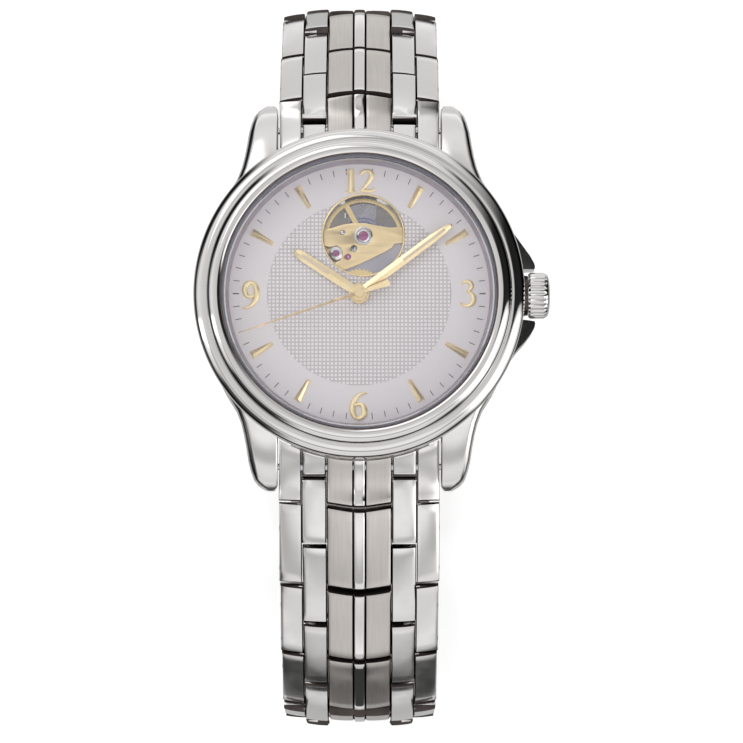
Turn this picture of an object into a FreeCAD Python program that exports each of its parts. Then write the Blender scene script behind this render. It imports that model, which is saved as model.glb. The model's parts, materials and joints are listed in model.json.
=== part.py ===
"""Open-heart automatic wristwatch on a steel link bracelet, standing on its closed clasp.

Millimetres.  The dial faces +Z, 12 o'clock is +Y and the crown points to +X.
The origin is the centre of the case back's outer face.
"""
import FreeCAD
import Part
import math
import os

V = FreeCAD.Vector

# ---------------------------------------------------------------- case
CASE_R = 19.95             # case band and bezel
CASE_TOP = 7.05            # joint between case middle and bezel
CASE_BOTTOM = 1.2          # joint between case middle and case back
MOVEMENT_BORE_R = 15.75    # case bore below the plate's flange
DIAL_BORE_R = 16.3         # case bore round the flange and dial
BACK_RING_R = 17.8
BACK_GLASS_R = 14.0
LUG_GAP = 19.9             # between the lugs
LUG_TIP_Y = 23.6
CRYSTAL_R = 16.3
CRYSTAL_SEAT_R = 16.5
CRYSTAL_BOTTOM = 9.2
CRYSTAL_TOP = 10.6

# plan of the lug at +X, +Y: its outer edge from the case to the tip
LUG_EDGE = [(16.6, 10.9), (14.5, 14.7), (13.75, 17.6), (13.35, 20.2), (12.6, 22.3), (11.2, LUG_TIP_Y)]
LUG_ROOT_Y = 10.0
GUARD_PLAN = [(17.0, 8.6), (18.4, 7.6), (21.35, 3.5), (20.1, 3.15), (17.0, 3.15)]
GUARD_Z = (1.9, 6.9)
GASKET_R = (16.9, 17.4)    # ring between case and back
SPRING_BAR_Y = {"12": 20.4, "6": -20.6}
SPRING_BAR_Z = 2.2
SPRING_BAR_R = 0.62
SPRING_BAR_TIP_R = 0.4
SPRING_BAR_HALF = 9.4
SPRING_BAR_TIP_HALF = 11.3

# ---------------------------------------------------------------- dial and hands
DIAL_BOTTOM = 6.6
DIAL_TOP = 7.0
DIAL_R = 16.2
HEART = V(0.5, 7.1, 0)     # centre of the aperture and axis of the balance
HEART_R = 5.0
MARKER_TOP = 7.35
HOUR_HAND_Z = 7.30
MINUTE_HAND_Z = 7.80
SECONDS_HAND_Z = 8.35
HAND_T = 0.22
HOUR_ANGLE = 303.3         # degrees clockwise from 12 o'clock
MINUTE_ANGLE = 53.3
SECONDS_ANGLE = 251.4
HOUR_BORE_R = 0.95
MINUTE_BORE_R = 0.62
SECONDS_BORE_R = 0.22

# ---------------------------------------------------------------- movement levels
BRIDGE_Z = (2.8, 3.6)      # train bridge and balance cock
SLAB_Z = (5.4, 6.0)        # main plate's floor
RIM_Z = (3.6, 5.4)         # main plate's wall
HEART_BRIDGE_Z = (6.0, 6.35)
ROTOR_Z = (1.45, 2.5)
PLATE_R = 15.7
PLATE_FLANGE_R = 16.2
PLATE_INNER_R = 14.3
BALANCE_RIM_Z = (4.15, 4.6)
BALANCE_ARM_Z = (4.25, 4.5)
HAIRSPRING_Z = (3.75, 3.95)
PALLET_Z = (5.1, 5.32)
ESCAPE_Z = (5.1, 5.3)
ESCAPE_PINION_Z = (4.68, 5.1)
FOURTH_Z = (4.75, 4.95)
FOURTH_PINION_Z = (4.05, 4.75)
THIRD_Z = (4.1, 4.3)
THIRD_PINION_Z = (3.72, 4.1)
CENTRE_Z = (3.75, 3.95)
CENTRE_PINION_Z = (4.4, 4.7)
BARREL_TEETH_Z = (4.42, 4.68)
BARREL_TOP = 5.3
PIVOT_BOTTOM = 3.0         # lower ends of the train's arbors
MOTION_WORK_Z = (5.6, 5.8) # minute wheel and, a little thicker, the cannon pinion
HOUR_WHEEL_Z = (6.07, 6.3)
HEART_SCREWS = [V(6.3, 7.35, 0), V(-5.9, 6.5, 0)]
BRIDGE_SCREW_R = 13.6
BRIDGE_SCREW_ANGLES = (200, 250, 290, 340)
COCK_SCREW = V(0, 13.6, 0)

# ---------------------------------------------------------------- wheel train
# wheel and pinion teeth, and the distances between axes that follow from them
BARREL_TEETH, CENTRE_PINION = 40, 8
CENTRE_TEETH, THIRD_PINION = 45, 6
THIRD_TEETH, FOURTH_PINION = 48, 6
FOURTH_TEETH, ESCAPE_PINION = 48, 6
CANNON_TEETH, MINUTE_TEETH = 12, 36
MINUTE_PINION, HOUR_TEETH = 10, 40
ESCAPE_TEETH = 15
FOURTH_AT = V(0, 0, 0)
THIRD_AT = V(-0.75, -4.25, 0)
CENTRE_AT = V(3.60, -5.02, 0)
BARREL_AT = V(8.82, -3.62, 0)
ESCAPE_AT = V(-2.80, 4.97, 0)
PALLET_AT = V(-1.35, 4.55, 0)
MINUTE_AT = V(1.925, -3.334, 0)
ESCAPE_R = 1.12

# ---------------------------------------------------------------- crown
CROWN_Z = 4.5
CROWN_R = 2.8
CROWN_X = (20.45, 23.1)
STEM_R = 0.45
TUBE_R = 1.3

# ---------------------------------------------------------------- bracelet
PITCH = 5.0                # between neighbouring hinge pins
HALF_T = 1.4               # half the thickness of a link
LINK_GAP = 0.22            # between two links of one column, laid straight
END_UNDERCUT = 0.5         # how far a link's end slopes back towards the wrist
DOME_R = 50.0              # crown of the bracelet across its width
TAPER = 0.0055             # width lost per link
CENTRE_HALF = 0.75         # half the polished centre piece
BRUSHED_OUT = 3.93
MIDDLE_IN, MIDDLE_OUT = 4.05, 6.93
OUTER_IN, OUTER_OUT = 7.05, 9.75
PIN_R = 0.5
PIN_BORE_R = 0.55
FIRST_PIN_Z = 1.9
FIRST_PIN_Y = {"12": 22.5, "6": 23.1}
# slope of each link below the dial plane, in degrees, from the case outwards
SLOPES = {
    "12": [43.0, 50.0, 52.0, 55.0, 70.0, 88.0, 108.0, 130.0, 152.0, 170.0, 178.0],
    "6": [13.0, 19.0, 26.0, 39.0, 48.0, 56.0, 66.0, 88.0, 111.0, 135.0, 158.0, 173.0, 177.0],
}

# ---------------------------------------------------------------- clasp
CLASP_HALF_W = 8.9
CLASP_WALL = 1.1
CLASP_FLOOR = 1.0
BLADE_HALF_W = 5.4
BLADE_T = 0.6
CLASP_PIN_R = 0.35
CLASP_PIN_BORE_R = 0.4
CLASP_BAR_R = 0.6          # spring bar in the last link of the 12 o'clock half
CLASP_DROP = 1.9           # from that spring bar down to the cover's flat outer face
FAR_HINGE_IN = 3.1         # hinge places, measured in from the ends of the two halves
FAR_HINGE_RISE = 1.6
NEAR_HINGE_IN = 2.9
NEAR_HINGE_RISE = 2.25
MIDDLE_BLADE_RISE = 1.35
INNER_BLADE_RISE = 2.45


# ================================================================ shapes
def cylinder(radius, z0, z1, at=V(0, 0, 0)):
    return Part.makeCylinder(radius, z1 - z0, V(at.x, at.y, z0))


def ring(outer, inner, z0, z1, at=V(0, 0, 0)):
    return cylinder(outer, z0, z1, at).cut(cylinder(inner, z0 - 1, z1 + 1, at))


def rod_x(radius, x0, x1, y, z):
    return Part.makeCylinder(radius, x1 - x0, V(x0, y, z), V(1, 0, 0))


def block(x0, x1, y0, y1, z0, z1):
    return Part.makeBox(x1 - x0, y1 - y0, z1 - z0, V(x0, y0, z0))


def prism(points, z0, z1):
    """A polygon of (x, y) points raised from z0 to z1."""
    wire = Part.makePolygon([V(x, y, z0) for x, y in points + points[:1]])
    return Part.Face(wire).extrude(V(0, 0, z1 - z0))


def prism_x(points, x0, x1):
    """A polygon of (y, z) points stretched from x0 to x1."""
    wire = Part.makePolygon([V(x0, y, z) for y, z in points + points[:1]])
    return Part.Face(wire).extrude(V(x1 - x0, 0, 0))


def turned(edges):
    """A solid of revolution about Z from edges that close a section in the XZ plane."""
    return Part.Face(Part.Wire(edges)).revolve(V(0, 0, 0), V(0, 0, 1), 360)


def polyline(points):
    """Straight edges through (radius, z) points."""
    ends = [V(r, 0, z) for r, z in points]
    return [Part.makeLine(a, b) for a, b in zip(ends, ends[1:])]


def arc_rz(start, middle, end):
    return Part.Arc(V(start[0], 0, start[1]), V(middle[0], 0, middle[1]), V(end[0], 0, end[1])).toShape()


def mirrored_x(shape):
    return shape.mirror(V(0, 0, 0), V(1, 0, 0))


def mirrored_y(shape):
    return shape.mirror(V(0, 0, 0), V(0, 1, 0))


def polar(radius, degrees, at=V(0, 0, 0)):
    angle = math.radians(degrees)
    return V(at.x + radius * math.cos(angle), at.y + radius * math.sin(angle), 0)


def heading(a, b):
    """Direction from a to b, in degrees from +X."""
    return math.degrees(math.atan2(b.y - a.y, b.x - a.x))


def joined(shapes):
    first, rest = shapes[0], shapes[1:]
    return first.fuse(rest).removeSplitter() if rest else first


def save(name, shapes):
    if not isinstance(shapes, list):
        shapes = [shapes]
    solids = [solid for shape in shapes for solid in shape.Solids]
    shape = solids[0] if len(solids) == 1 else Part.makeCompound(solids)
    shape.exportStep(os.path.join("parts", name + ".step"))


def gear(teeth, pitch_r, z0, z1, at, tooth_angle, tall=0.42, thick=0.34):
    """A spur gear with slim, low teeth; one tooth points along tooth_angle."""
    module = 2 * pitch_r / teeth
    tip_r = pitch_r + tall * module
    root_r = pitch_r - (tall + 0.25) * module
    step = 360.0 / teeth
    points = []
    for tooth in range(teeth):
        middle = tooth_angle + tooth * step
        for radius, side in ((root_r, -0.62), (tip_r, -0.36), (tip_r, 0.36), (root_r, 0.62)):
            corner = polar(radius, middle + side * thick * step, at)
            points.append((corner.x, corner.y))
    return prism(points, z0, z1)


def pitch_radius(at, mate_at, teeth, mate_teeth):
    """Pitch radius of a wheel that meshes with a mate at mate_at."""
    return at.distanceToPoint(mate_at) * teeth / (teeth + mate_teeth)


def spoked(outer, inner, hub, spokes, width, z0, z1, at, first_angle):
    """Windows between the spokes of a wheel, to be cut from its disc."""
    window = ring(outer, inner, z0 - 1, z1 + 1, at)
    for spoke in range(spokes):
        arm = block(0, outer + 1, -width / 2, width / 2, z0 - 2, z1 + 2)
        arm.rotate(V(0, 0, 0), V(0, 0, 1), first_angle + spoke * 360.0 / spokes)
        arm.translate(V(at.x, at.y, 0))
        window = window.cut(arm)
    return window.cut(cylinder(hub, z0 - 2, z1 + 2, at))


# ================================================================ case
def lug():
    """The lug at +X, +Y: a plan outline that flows out of the case, cut to a side profile."""
    edge = Part.BSplineCurve()
    edge.interpolate([V(x, y, -1) for x, y in LUG_EDGE])
    inner_x = LUG_GAP / 2
    tip = [LUG_EDGE[-1], (10.4, LUG_TIP_Y - 0.1), (inner_x, LUG_TIP_Y - 0.5)]
    inner = tip + [(inner_x, LUG_ROOT_Y), LUG_EDGE[0]]
    corners = [V(x, y, -1) for x, y in inner]
    sides = [Part.makeLine(a, b) for a, b in zip(corners, corners[1:])]
    plan = Part.Face(Part.Wire([edge.toShape()] + sides)).extrude(V(0, 0, 10))
    top = Part.Arc(V(0, LUG_ROOT_Y, CASE_TOP - 0.35), V(0, 18.6, 5.35), V(0, LUG_TIP_Y + 0.1, 1.9)).toShape()
    under = polyline_yz([(LUG_TIP_Y + 0.1, 1.9), (LUG_TIP_Y + 0.1, 0.9), (LUG_TIP_Y - 1.0, 0.35),
                         (15.0, CASE_BOTTOM), (LUG_ROOT_Y, CASE_BOTTOM), (LUG_ROOT_Y, CASE_TOP - 0.35)])
    side = Part.Face(Part.Wire([top] + under)).extrude(V(25, 0, 0))
    return plan.common(side)


def polyline_yz(points):
    ends = [V(0, y, z) for y, z in points]
    return [Part.makeLine(a, b) for a, b in zip(ends, ends[1:])]


def crown_guards():
    """Two pointed shoulders that stand up on either side of the crown."""
    upper = prism(GUARD_PLAN, *GUARD_Z)
    return [upper, mirrored_y(upper)]


def case_middle():
    band = turned(polyline([(MOVEMENT_BORE_R, CASE_BOTTOM), (18.2, CASE_BOTTOM)])
                  + [arc_rz((18.2, CASE_BOTTOM), (19.5, 3.1), (CASE_R, 6.0))]
                  + polyline([(CASE_R, 6.0), (CASE_R, CASE_TOP), (DIAL_BORE_R, CASE_TOP),
                              (DIAL_BORE_R, SLAB_Z[0]), (MOVEMENT_BORE_R, SLAB_Z[0]),
                              (MOVEMENT_BORE_R, CASE_BOTTOM)]))
    one = lug()
    left = mirrored_x(one)
    tube = rod_x(TUBE_R, 17.0, 21.0, 0, CROWN_Z)
    body = joined([band, one, left, mirrored_y(one), mirrored_y(left), tube] + crown_guards())
    body = body.cut(cylinder(MOVEMENT_BORE_R, -1, SLAB_Z[0]))
    body = body.cut(cylinder(DIAL_BORE_R, SLAB_Z[0], 12))
    body = body.cut(rod_x(STEM_R + 0.05, 14, 22, 0, CROWN_Z))
    crown_room = rod_x(CROWN_R + 0.35, 20.15, 25, 0, CROWN_Z).cut(rod_x(TUBE_R, 19, 21.0, 0, CROWN_Z))
    body = body.cut(crown_room)
    body = body.cut(ring(GASKET_R[1], GASKET_R[0], 0, CASE_BOTTOM + 0.4))
    reach = SPRING_BAR_TIP_HALF + 0.1
    for bar_y in SPRING_BAR_Y.values():
        body = body.cut(rod_x(SPRING_BAR_TIP_R, -reach, reach, bar_y, SPRING_BAR_Z))
    return body.removeSplitter()


def bezel():
    """Two polished rings with a groove between them; the inner cone is the flange round the dial."""
    return turned(polyline([(17.9, CASE_TOP), (15.35, CASE_TOP), (16.1, CRYSTAL_BOTTOM),
                            (CRYSTAL_SEAT_R, CRYSTAL_BOTTOM), (CRYSTAL_SEAT_R, 10.25), (16.9, 10.42)])
                  + [arc_rz((16.9, 10.42), (17.75, 10.3), (18.35, 9.3))]
                  + polyline([(18.35, 9.3), (18.5, 9.05)])
                  + [arc_rz((18.5, 9.05), (19.55, 8.75), (20.0, 7.75))]
                  + polyline([(20.0, 7.75), (CASE_R, CASE_TOP), (17.9, CASE_TOP)]))


def crystal():
    """Flat sapphire with a bevelled edge."""
    return turned(polyline([(0, CRYSTAL_BOTTOM), (CRYSTAL_R, CRYSTAL_BOTTOM), (CRYSTAL_R, 10.2),
                            (CRYSTAL_R - 0.4, CRYSTAL_TOP), (0, CRYSTAL_TOP), (0, CRYSTAL_BOTTOM)]))


def gaskets():
    front = ring(CRYSTAL_SEAT_R, CRYSTAL_R, CRYSTAL_BOTTOM, 10.2)
    back = ring(GASKET_R[1], GASKET_R[0], CASE_BOTTOM, CASE_BOTTOM + 0.4)
    return [front, back]


def case_back():
    back = turned(polyline([(BACK_GLASS_R, 0), (17.1, 0), (BACK_RING_R, 0.5), (BACK_RING_R, CASE_BOTTOM),
                            (13.4, CASE_BOTTOM), (13.4, 0.9), (BACK_GLASS_R, 0.9), (BACK_GLASS_R, 0)]))
    for notch in range(6):
        slot = block(16.4, 19, -0.9, 0.9, -1, 0.45)
        slot.rotate(V(0, 0, 0), V(0, 0, 1), 30 + notch * 60)
        back = back.cut(slot)
    return back


# ================================================================ dial
def dial():
    plate = cylinder(DIAL_R, DIAL_BOTTOM, DIAL_TOP)
    plate = plate.cut(cylinder(HEART_R, 6, 8, HEART)).cut(cylinder(1.1, 6, 8))
    feet = [cylinder(0.35, SLAB_Z[1], DIAL_BOTTOM, polar(13.0, angle)) for angle in (150, 330)]
    return joined([plate] + feet)


def aperture_ring():
    return ring(HEART_R, HEART_R - 0.3, DIAL_TOP - 0.25, DIAL_TOP + 0.18, HEART)


def baton(hour):
    """A tapered marker with a ridge along it."""
    inner_r, outer_r = 12.0, 15.0
    half_in, half_out = 0.22, 0.45
    bevel = 0.16
    base = DIAL_TOP
    foot = [V(-half_in, inner_r, base), V(half_in, inner_r, base), V(half_out, outer_r, base),
            V(-half_out, outer_r, base)]
    ridge = [V(0, inner_r + bevel, MARKER_TOP), V(0, outer_r - bevel, MARKER_TOP)]
    faces = [foot, [foot[0], foot[1], ridge[0]], [foot[2], foot[3], ridge[1]],
             [foot[1], foot[2], ridge[0]], [foot[2], ridge[1], ridge[0]],
             [foot[3], foot[0], ridge[0]], [foot[3], ridge[0], ridge[1]]]
    shell = Part.Shell([Part.Face(Part.makePolygon(corners + corners[:1])) for corners in faces])
    solid = Part.Solid(shell)
    if solid.Volume < 0:
        solid.reverse()
    solid.rotate(V(0, 0, 0), V(0, 0, 1), -30 * hour)
    return solid


def stroke_ring(cx, cy, rx, ry, wx, wy):
    """An elliptical bowl of a numeral, wider at its sides than at top and bottom."""
    z0, z1 = DIAL_TOP, MARKER_TOP
    outer = ellipse_prism(cx, cy, rx, ry, z0, z1)
    return outer.cut(ellipse_prism(cx, cy, rx - wx, ry - wy, z0 - 1, z1 + 1))


def ellipse_prism(cx, cy, rx, ry, z0, z1):
    long_r, short_r = max(rx, ry), min(rx, ry)
    curve = Part.Ellipse(V(cx, cy, z0), long_r, short_r)
    shape = curve.toShape()
    if ry > rx:
        shape.rotate(V(cx, cy, z0), V(0, 0, 1), 90)
    return Part.Face(Part.Wire([shape])).extrude(V(0, 0, z1 - z0))


def numeral_box(x0, x1, y0, y1):
    return block(x0, x1, y0, y1, DIAL_TOP, MARKER_TOP)


def numerals():
    """The figures 12, 3, 6 and 9, built from bars and bowls."""
    one = joined([numeral_box(-1.35, -0.85, 12.35, 15.05), numeral_box(-1.65, -0.55, 12.35, 12.6),
                  prism([(-1.7, 14.35), (-1.35, 14.6), (-1.35, 15.05), (-1.7, 14.8)], DIAL_TOP, MARKER_TOP)])
    bowl = stroke_ring(0.85, 14.2, 0.85, 0.85, 0.32, 0.2).cut(numeral_box(-0.2, 0.85, 12, 14.1))
    bowl = bowl.cut(numeral_box(-0.2, 1.9, 12, 13.75))
    stem = prism([(0.05, 12.35), (0.5, 12.35), (1.68, 13.85), (1.28, 13.95)], DIAL_TOP, MARKER_TOP)
    two = joined([bowl, stem, numeral_box(0.05, 1.75, 12.35, 12.7)])
    three = joined([stroke_ring(13.2, 0.68, 0.82, 0.85, 0.35, 0.2).cut(numeral_box(12, 13.1, -0.2, 1.1)),
                    stroke_ring(13.15, -0.78, 1.0, 0.95, 0.4, 0.2).cut(numeral_box(12, 13.0, -1.3, 0.3))])
    tail = [(-1.03, -14.2), (-0.68, -14.2), (-0.2, -12.9), (0.75, -12.2), (0.5, -12.0), (-0.7, -12.7)]
    six = joined([stroke_ring(0, -14.25, 1.05, 1.0, 0.36, 0.2), prism(tail, DIAL_TOP, MARKER_TOP)])
    nine = six.copy()
    nine.rotate(V(0, -13.65, 0), V(0, 0, 1), 180)
    nine.translate(V(-13.05, 13.65, 0))
    return [one, two, three, six, nine]


def hand(length, half_root, half_wide, wide_at, z0, angle, hub_r, bore_r, tail=0.0, tail_half=0.0):
    """A tapered baton hand on a round hub, with an optional counterweight."""
    tip = [(-0.06, length - 0.15), (0, length), (0.06, length - 0.15)]
    blade = [(-half_root, 0), (-half_wide, wide_at)] + tip + [(half_wide, wide_at), (half_root, 0)]
    if tail:
        blade += [(tail_half, -tail), (-tail_half, -tail)]
    body = joined([prism(blade, z0, z0 + HAND_T), cylinder(hub_r, z0, z0 + HAND_T)])
    body = body.cut(cylinder(bore_r, z0 - 1, z0 + 1))
    body.rotate(V(0, 0, 0), V(0, 0, 1), -angle)
    return body.removeSplitter()


# ================================================================ movement
def main_plate():
    plate = joined([cylinder(PLATE_FLANGE_R, SLAB_Z[0], SLAB_Z[1]),
                    ring(PLATE_R, PLATE_INNER_R, RIM_Z[0], RIM_Z[1])])
    above = prism([(-8, 1.0), (8, 8.0), (8, 16), (-8, 16)], 0, 9)
    heart = cylinder(HEART_R + 0.35, 4, 7, HEART).common(above)
    plate = plate.cut(heart)
    plate = plate.cut(cylinder(0.4, 4, 7))
    plate = plate.cut(cylinder(1.25, SLAB_Z[0] + 0.12, 7))
    plate = plate.cut(cylinder(3.2, SLAB_Z[0] + 0.12, 7, MINUTE_AT))
    plate = plate.cut(rod_x(STEM_R + 0.05, 12, 17, 0, CROWN_Z))
    post = cylinder(0.3, SLAB_Z[0], 6.32, MINUTE_AT)
    return joined([plate, post])


def heart_bridge():
    """The gold bridge across the aperture, with the shock setting and two jewels."""
    z0, z1 = HEART_BRIDGE_Z
    plate = prism([(-6.6, 7.0), (-4.3, 7.75), (-1.8, 8.5), (0.7, 8.65), (3.6, 8.1), (6.6, 8.2), (6.9, 6.5),
                   (4.3, 6.15), (3.9, 5.6), (3.0, 5.1), (1.5, 4.35), (0.0, 3.65), (-2.1, 2.8), (-3.7, 2.2),
                   (-4.7, 2.9), (-3.1, 3.75), (-2.3, 4.1), (-1.95, 4.9), (-2.2, 5.6), (-2.7, 5.95),
                   (-3.5, 5.75), (-5.0, 6.05), (-6.3, 5.9)], z0, z1)
    plate = plate.cut(cylinder(0.32, z0 - 1, z1 + 1, V(-2.0, 7.5, 0)))
    plate = plate.cut(cylinder(0.42, z0 - 1, z1 + 1, V(-0.65, 5.55, 0)))
    plate = plate.cut(cylinder(1.1, z0 - 1, z1 + 1, HEART))
    plate = plate.cut(cylinder(0.38, z0 - 1, z1 + 1, PALLET_AT))
    for place in HEART_SCREWS:
        plate = plate.cut(cylinder(0.3, z0 - 1, z1 + 1, place))
    setting = ring(1.1, 0.75, z0 + 0.05, z1 + 0.06, HEART)
    jewel = ring(0.75, 0.16, z0 + 0.05, z1 - 0.05, HEART)
    pallet_jewel = ring(0.38, 0.14, z0, z1 - 0.05, PALLET_AT)
    return [plate, setting, jewel, pallet_jewel]


def balance_wheel():
    rim = ring(4.75, 4.3, *BALANCE_RIM_Z, HEART)
    arm = block(-4.5, 4.5, -0.3, 0.3, *BALANCE_ARM_Z)
    arm.rotate(V(0, 0, 0), V(0, 0, 1), 118)
    arm.translate(HEART)
    staff = joined([cylinder(0.12, PIVOT_BOTTOM, 6.2, HEART), cylinder(0.3, 3.7, 5.1, HEART),
                    cylinder(0.48, 5.12, 5.3, HEART)])
    return joined([rim, arm, cylinder(0.9, *BALANCE_ARM_Z, HEART), staff])


def hairspring():
    """An Archimedean spiral ribbon of square corners, round the staff."""
    turns, inner_r, pitch, half = 5, 0.75, 0.42, 0.05
    steps = turns * 16
    inner, outer = [], []
    for step in range(steps + 1):
        radius = inner_r + pitch * step / 16.0
        angle = 40 + step * 360.0 / 16
        a = polar(radius - half, angle, HEART)
        b = polar(radius + half, angle, HEART)
        inner.append((a.x, a.y))
        outer.append((b.x, b.y))
    ribbon = prism(outer + inner[::-1], *HAIRSPRING_Z)
    collet = ring(0.85, 0.3, HAIRSPRING_Z[0] - 0.03, HAIRSPRING_Z[1] + 0.03, HEART)
    return joined([ribbon, collet])


def pallet_fork():
    """The lever from the pallet staff to the roller, with two arms that stop short of the escape wheel."""
    z0, z1 = PALLET_Z
    towards = heading(PALLET_AT, HEART)
    lever = block(0, 2.55, -0.13, 0.13, z0, z1)
    lever.rotate(V(0, 0, 0), V(0, 0, 1), towards)
    lever.translate(PALLET_AT)
    away = heading(PALLET_AT, ESCAPE_AT)
    arms = []
    for side in (-1, 1):
        arm = prism([(-0.1, 0), (0.15, -0.15 * side), (0.55, 1.12 * side), (0.3, 1.2 * side)], z0, z1)
        arm.rotate(V(0, 0, 0), V(0, 0, 1), away)
        arm.translate(PALLET_AT)
        arms.append(arm)
    staff = cylinder(0.09, z0, 6.3, PALLET_AT)
    return joined([lever, cylinder(0.3, z0, z1, PALLET_AT), staff] + arms)


def escape_wheel():
    step = 360.0 / ESCAPE_TEETH
    points = []
    for tooth in range(ESCAPE_TEETH):
        middle = tooth * step
        for radius, turn in ((0.78, -8.0), (ESCAPE_R, 1.0), (ESCAPE_R, 4.0), (0.78, 3.0)):
            corner = polar(radius, middle + turn, ESCAPE_AT)
            points.append((corner.x, corner.y))
    wheel = prism(points, *ESCAPE_Z)
    pinion_r = pitch_radius(ESCAPE_AT, FOURTH_AT, ESCAPE_PINION, FOURTH_TEETH)
    phase = heading(ESCAPE_AT, FOURTH_AT) + 180.0 / ESCAPE_PINION
    pinion = gear(ESCAPE_PINION, pinion_r, *ESCAPE_PINION_Z, ESCAPE_AT, phase)
    return joined([wheel, pinion, cylinder(0.09, ESCAPE_PINION_Z[0], 5.9, ESCAPE_AT)])


def train_wheel(at, drives_at, teeth, driven_teeth, levels, hub_r, spoke_angle, rim):
    """A wheel with four spokes, one tooth of which points at the pinion that it drives."""
    wheel_r = pitch_radius(at, drives_at, teeth, driven_teeth)
    wheel = gear(teeth, wheel_r, *levels, at, heading(at, drives_at))
    return wheel.cut(spoked(wheel_r - rim, hub_r, hub_r, 4, 0.5, *levels, at, spoke_angle))


def pinion_of(at, driver_at, teeth, driver_teeth, levels):
    """A pinion with a gap between teeth that points at the wheel that drives it."""
    pinion_r = pitch_radius(at, driver_at, teeth, driver_teeth)
    return gear(teeth, pinion_r, *levels, at, heading(at, driver_at) + 180.0 / teeth)


def fourth_wheel():
    """Centre-seconds wheel: its arbor runs through the cannon pinion up to the seconds hand."""
    wheel = train_wheel(FOURTH_AT, ESCAPE_AT, FOURTH_TEETH, ESCAPE_PINION, FOURTH_Z, 0.9, 20, 0.9)
    pinion = pinion_of(FOURTH_AT, THIRD_AT, FOURTH_PINION, THIRD_TEETH, FOURTH_PINION_Z)
    arbor = cylinder(SECONDS_BORE_R, 2.95, SECONDS_HAND_Z + HAND_T)
    return joined([wheel, pinion, arbor])


def third_wheel():
    wheel = train_wheel(THIRD_AT, FOURTH_AT, THIRD_TEETH, FOURTH_PINION, THIRD_Z, 0.9, 10, 0.8)
    pinion = pinion_of(THIRD_AT, CENTRE_AT, THIRD_PINION, CENTRE_TEETH, THIRD_PINION_Z)
    return joined([wheel, pinion, cylinder(0.15, PIVOT_BOTTOM, 4.6, THIRD_AT)])


def centre_wheel():
    wheel = train_wheel(CENTRE_AT, THIRD_AT, CENTRE_TEETH, THIRD_PINION, CENTRE_Z, 1.1, 40, 0.8)
    pinion = pinion_of(CENTRE_AT, BARREL_AT, CENTRE_PINION, BARREL_TEETH, CENTRE_PINION_Z)
    return joined([wheel, pinion, cylinder(0.2, PIVOT_BOTTOM, 5.35, CENTRE_AT)])


def barrel():
    """Mainspring barrel with its toothed drum."""
    wheel_r = pitch_radius(BARREL_AT, CENTRE_AT, BARREL_TEETH, CENTRE_PINION)
    drum = gear(BARREL_TEETH, wheel_r, *BARREL_TEETH_Z, BARREL_AT, heading(BARREL_AT, CENTRE_AT))
    cover = cylinder(wheel_r - 0.5, BARREL_TEETH_Z[1], BARREL_TOP, BARREL_AT)
    return joined([drum, cover, cylinder(0.5, PIVOT_BOTTOM, BARREL_TOP + 0.05, BARREL_AT)])


def cannon_pinion():
    cannon_r = pitch_radius(FOURTH_AT, MINUTE_AT, CANNON_TEETH, MINUTE_TEETH)
    low = MOTION_WORK_Z[0]
    teeth = gear(CANNON_TEETH, cannon_r, low, low + 0.3, FOURTH_AT, heading(FOURTH_AT, MINUTE_AT))
    tube = cylinder(MINUTE_BORE_R, low, MINUTE_HAND_Z + HAND_T)
    return joined([teeth, tube]).cut(cylinder(SECONDS_BORE_R + 0.07, 5, 9))


def minute_wheel():
    wheel = pinion_of(MINUTE_AT, FOURTH_AT, MINUTE_TEETH, CANNON_TEETH, MOTION_WORK_Z)
    pinion_r = pitch_radius(MINUTE_AT, FOURTH_AT, MINUTE_PINION, HOUR_TEETH)
    levels = (MOTION_WORK_Z[1], HOUR_WHEEL_Z[1])
    pinion = gear(MINUTE_PINION, pinion_r, *levels, MINUTE_AT, heading(MINUTE_AT, FOURTH_AT))
    return joined([wheel, pinion]).cut(cylinder(0.36, 5, 7, MINUTE_AT))


def hour_wheel():
    wheel = pinion_of(FOURTH_AT, MINUTE_AT, HOUR_TEETH, MINUTE_PINION, HOUR_WHEEL_Z)
    tube = cylinder(HOUR_BORE_R, HOUR_WHEEL_Z[0], HOUR_HAND_Z + HAND_T)
    return joined([wheel, tube]).cut(cylinder(MINUTE_BORE_R + 0.07, 5, 9))


def train_bridge():
    """Three-quarter bridge, balance cock and the rotor's bearing post."""
    z0, z1 = BRIDGE_Z
    plate = cylinder(PLATE_R - 0.3, z0, z1)
    window = cylinder(5.3, z0 - 1, z1 + 1, HEART)
    mouth = block(HEART.x - 5.3, HEART.x + 5.3, HEART.y, 16, z0 - 1, z1 + 1)
    plate = plate.cut(window).cut(mouth)
    cock = prism([(-0.75, 5.9), (1.75, 5.9), (2.3, 14.9), (-2.3, 14.9)], z0, z1)
    cock = cock.common(cylinder(PLATE_R - 0.3, z0, z1))
    post = joined([cylinder(1.5, 1.7, z0), cylinder(1.9, 2.62, z0)])
    for hole in ((FOURTH_AT, 0.27), (THIRD_AT, 0.2), (CENTRE_AT, 0.25), (BARREL_AT, 0.55)):
        plate = plate.cut(cylinder(hole[1], 2.9, z1 + 1, hole[0]))
    cock = cock.cut(cylinder(0.17, 2.9, z1 + 1, HEART))
    for place in bridge_screws():
        plate = plate.cut(cylinder(0.5, z0 - 1, z1 + 1, place))
    cock = cock.cut(cylinder(0.5, z0 - 1, z1 + 1, COCK_SCREW))
    return [plate, cock, post]


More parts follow.
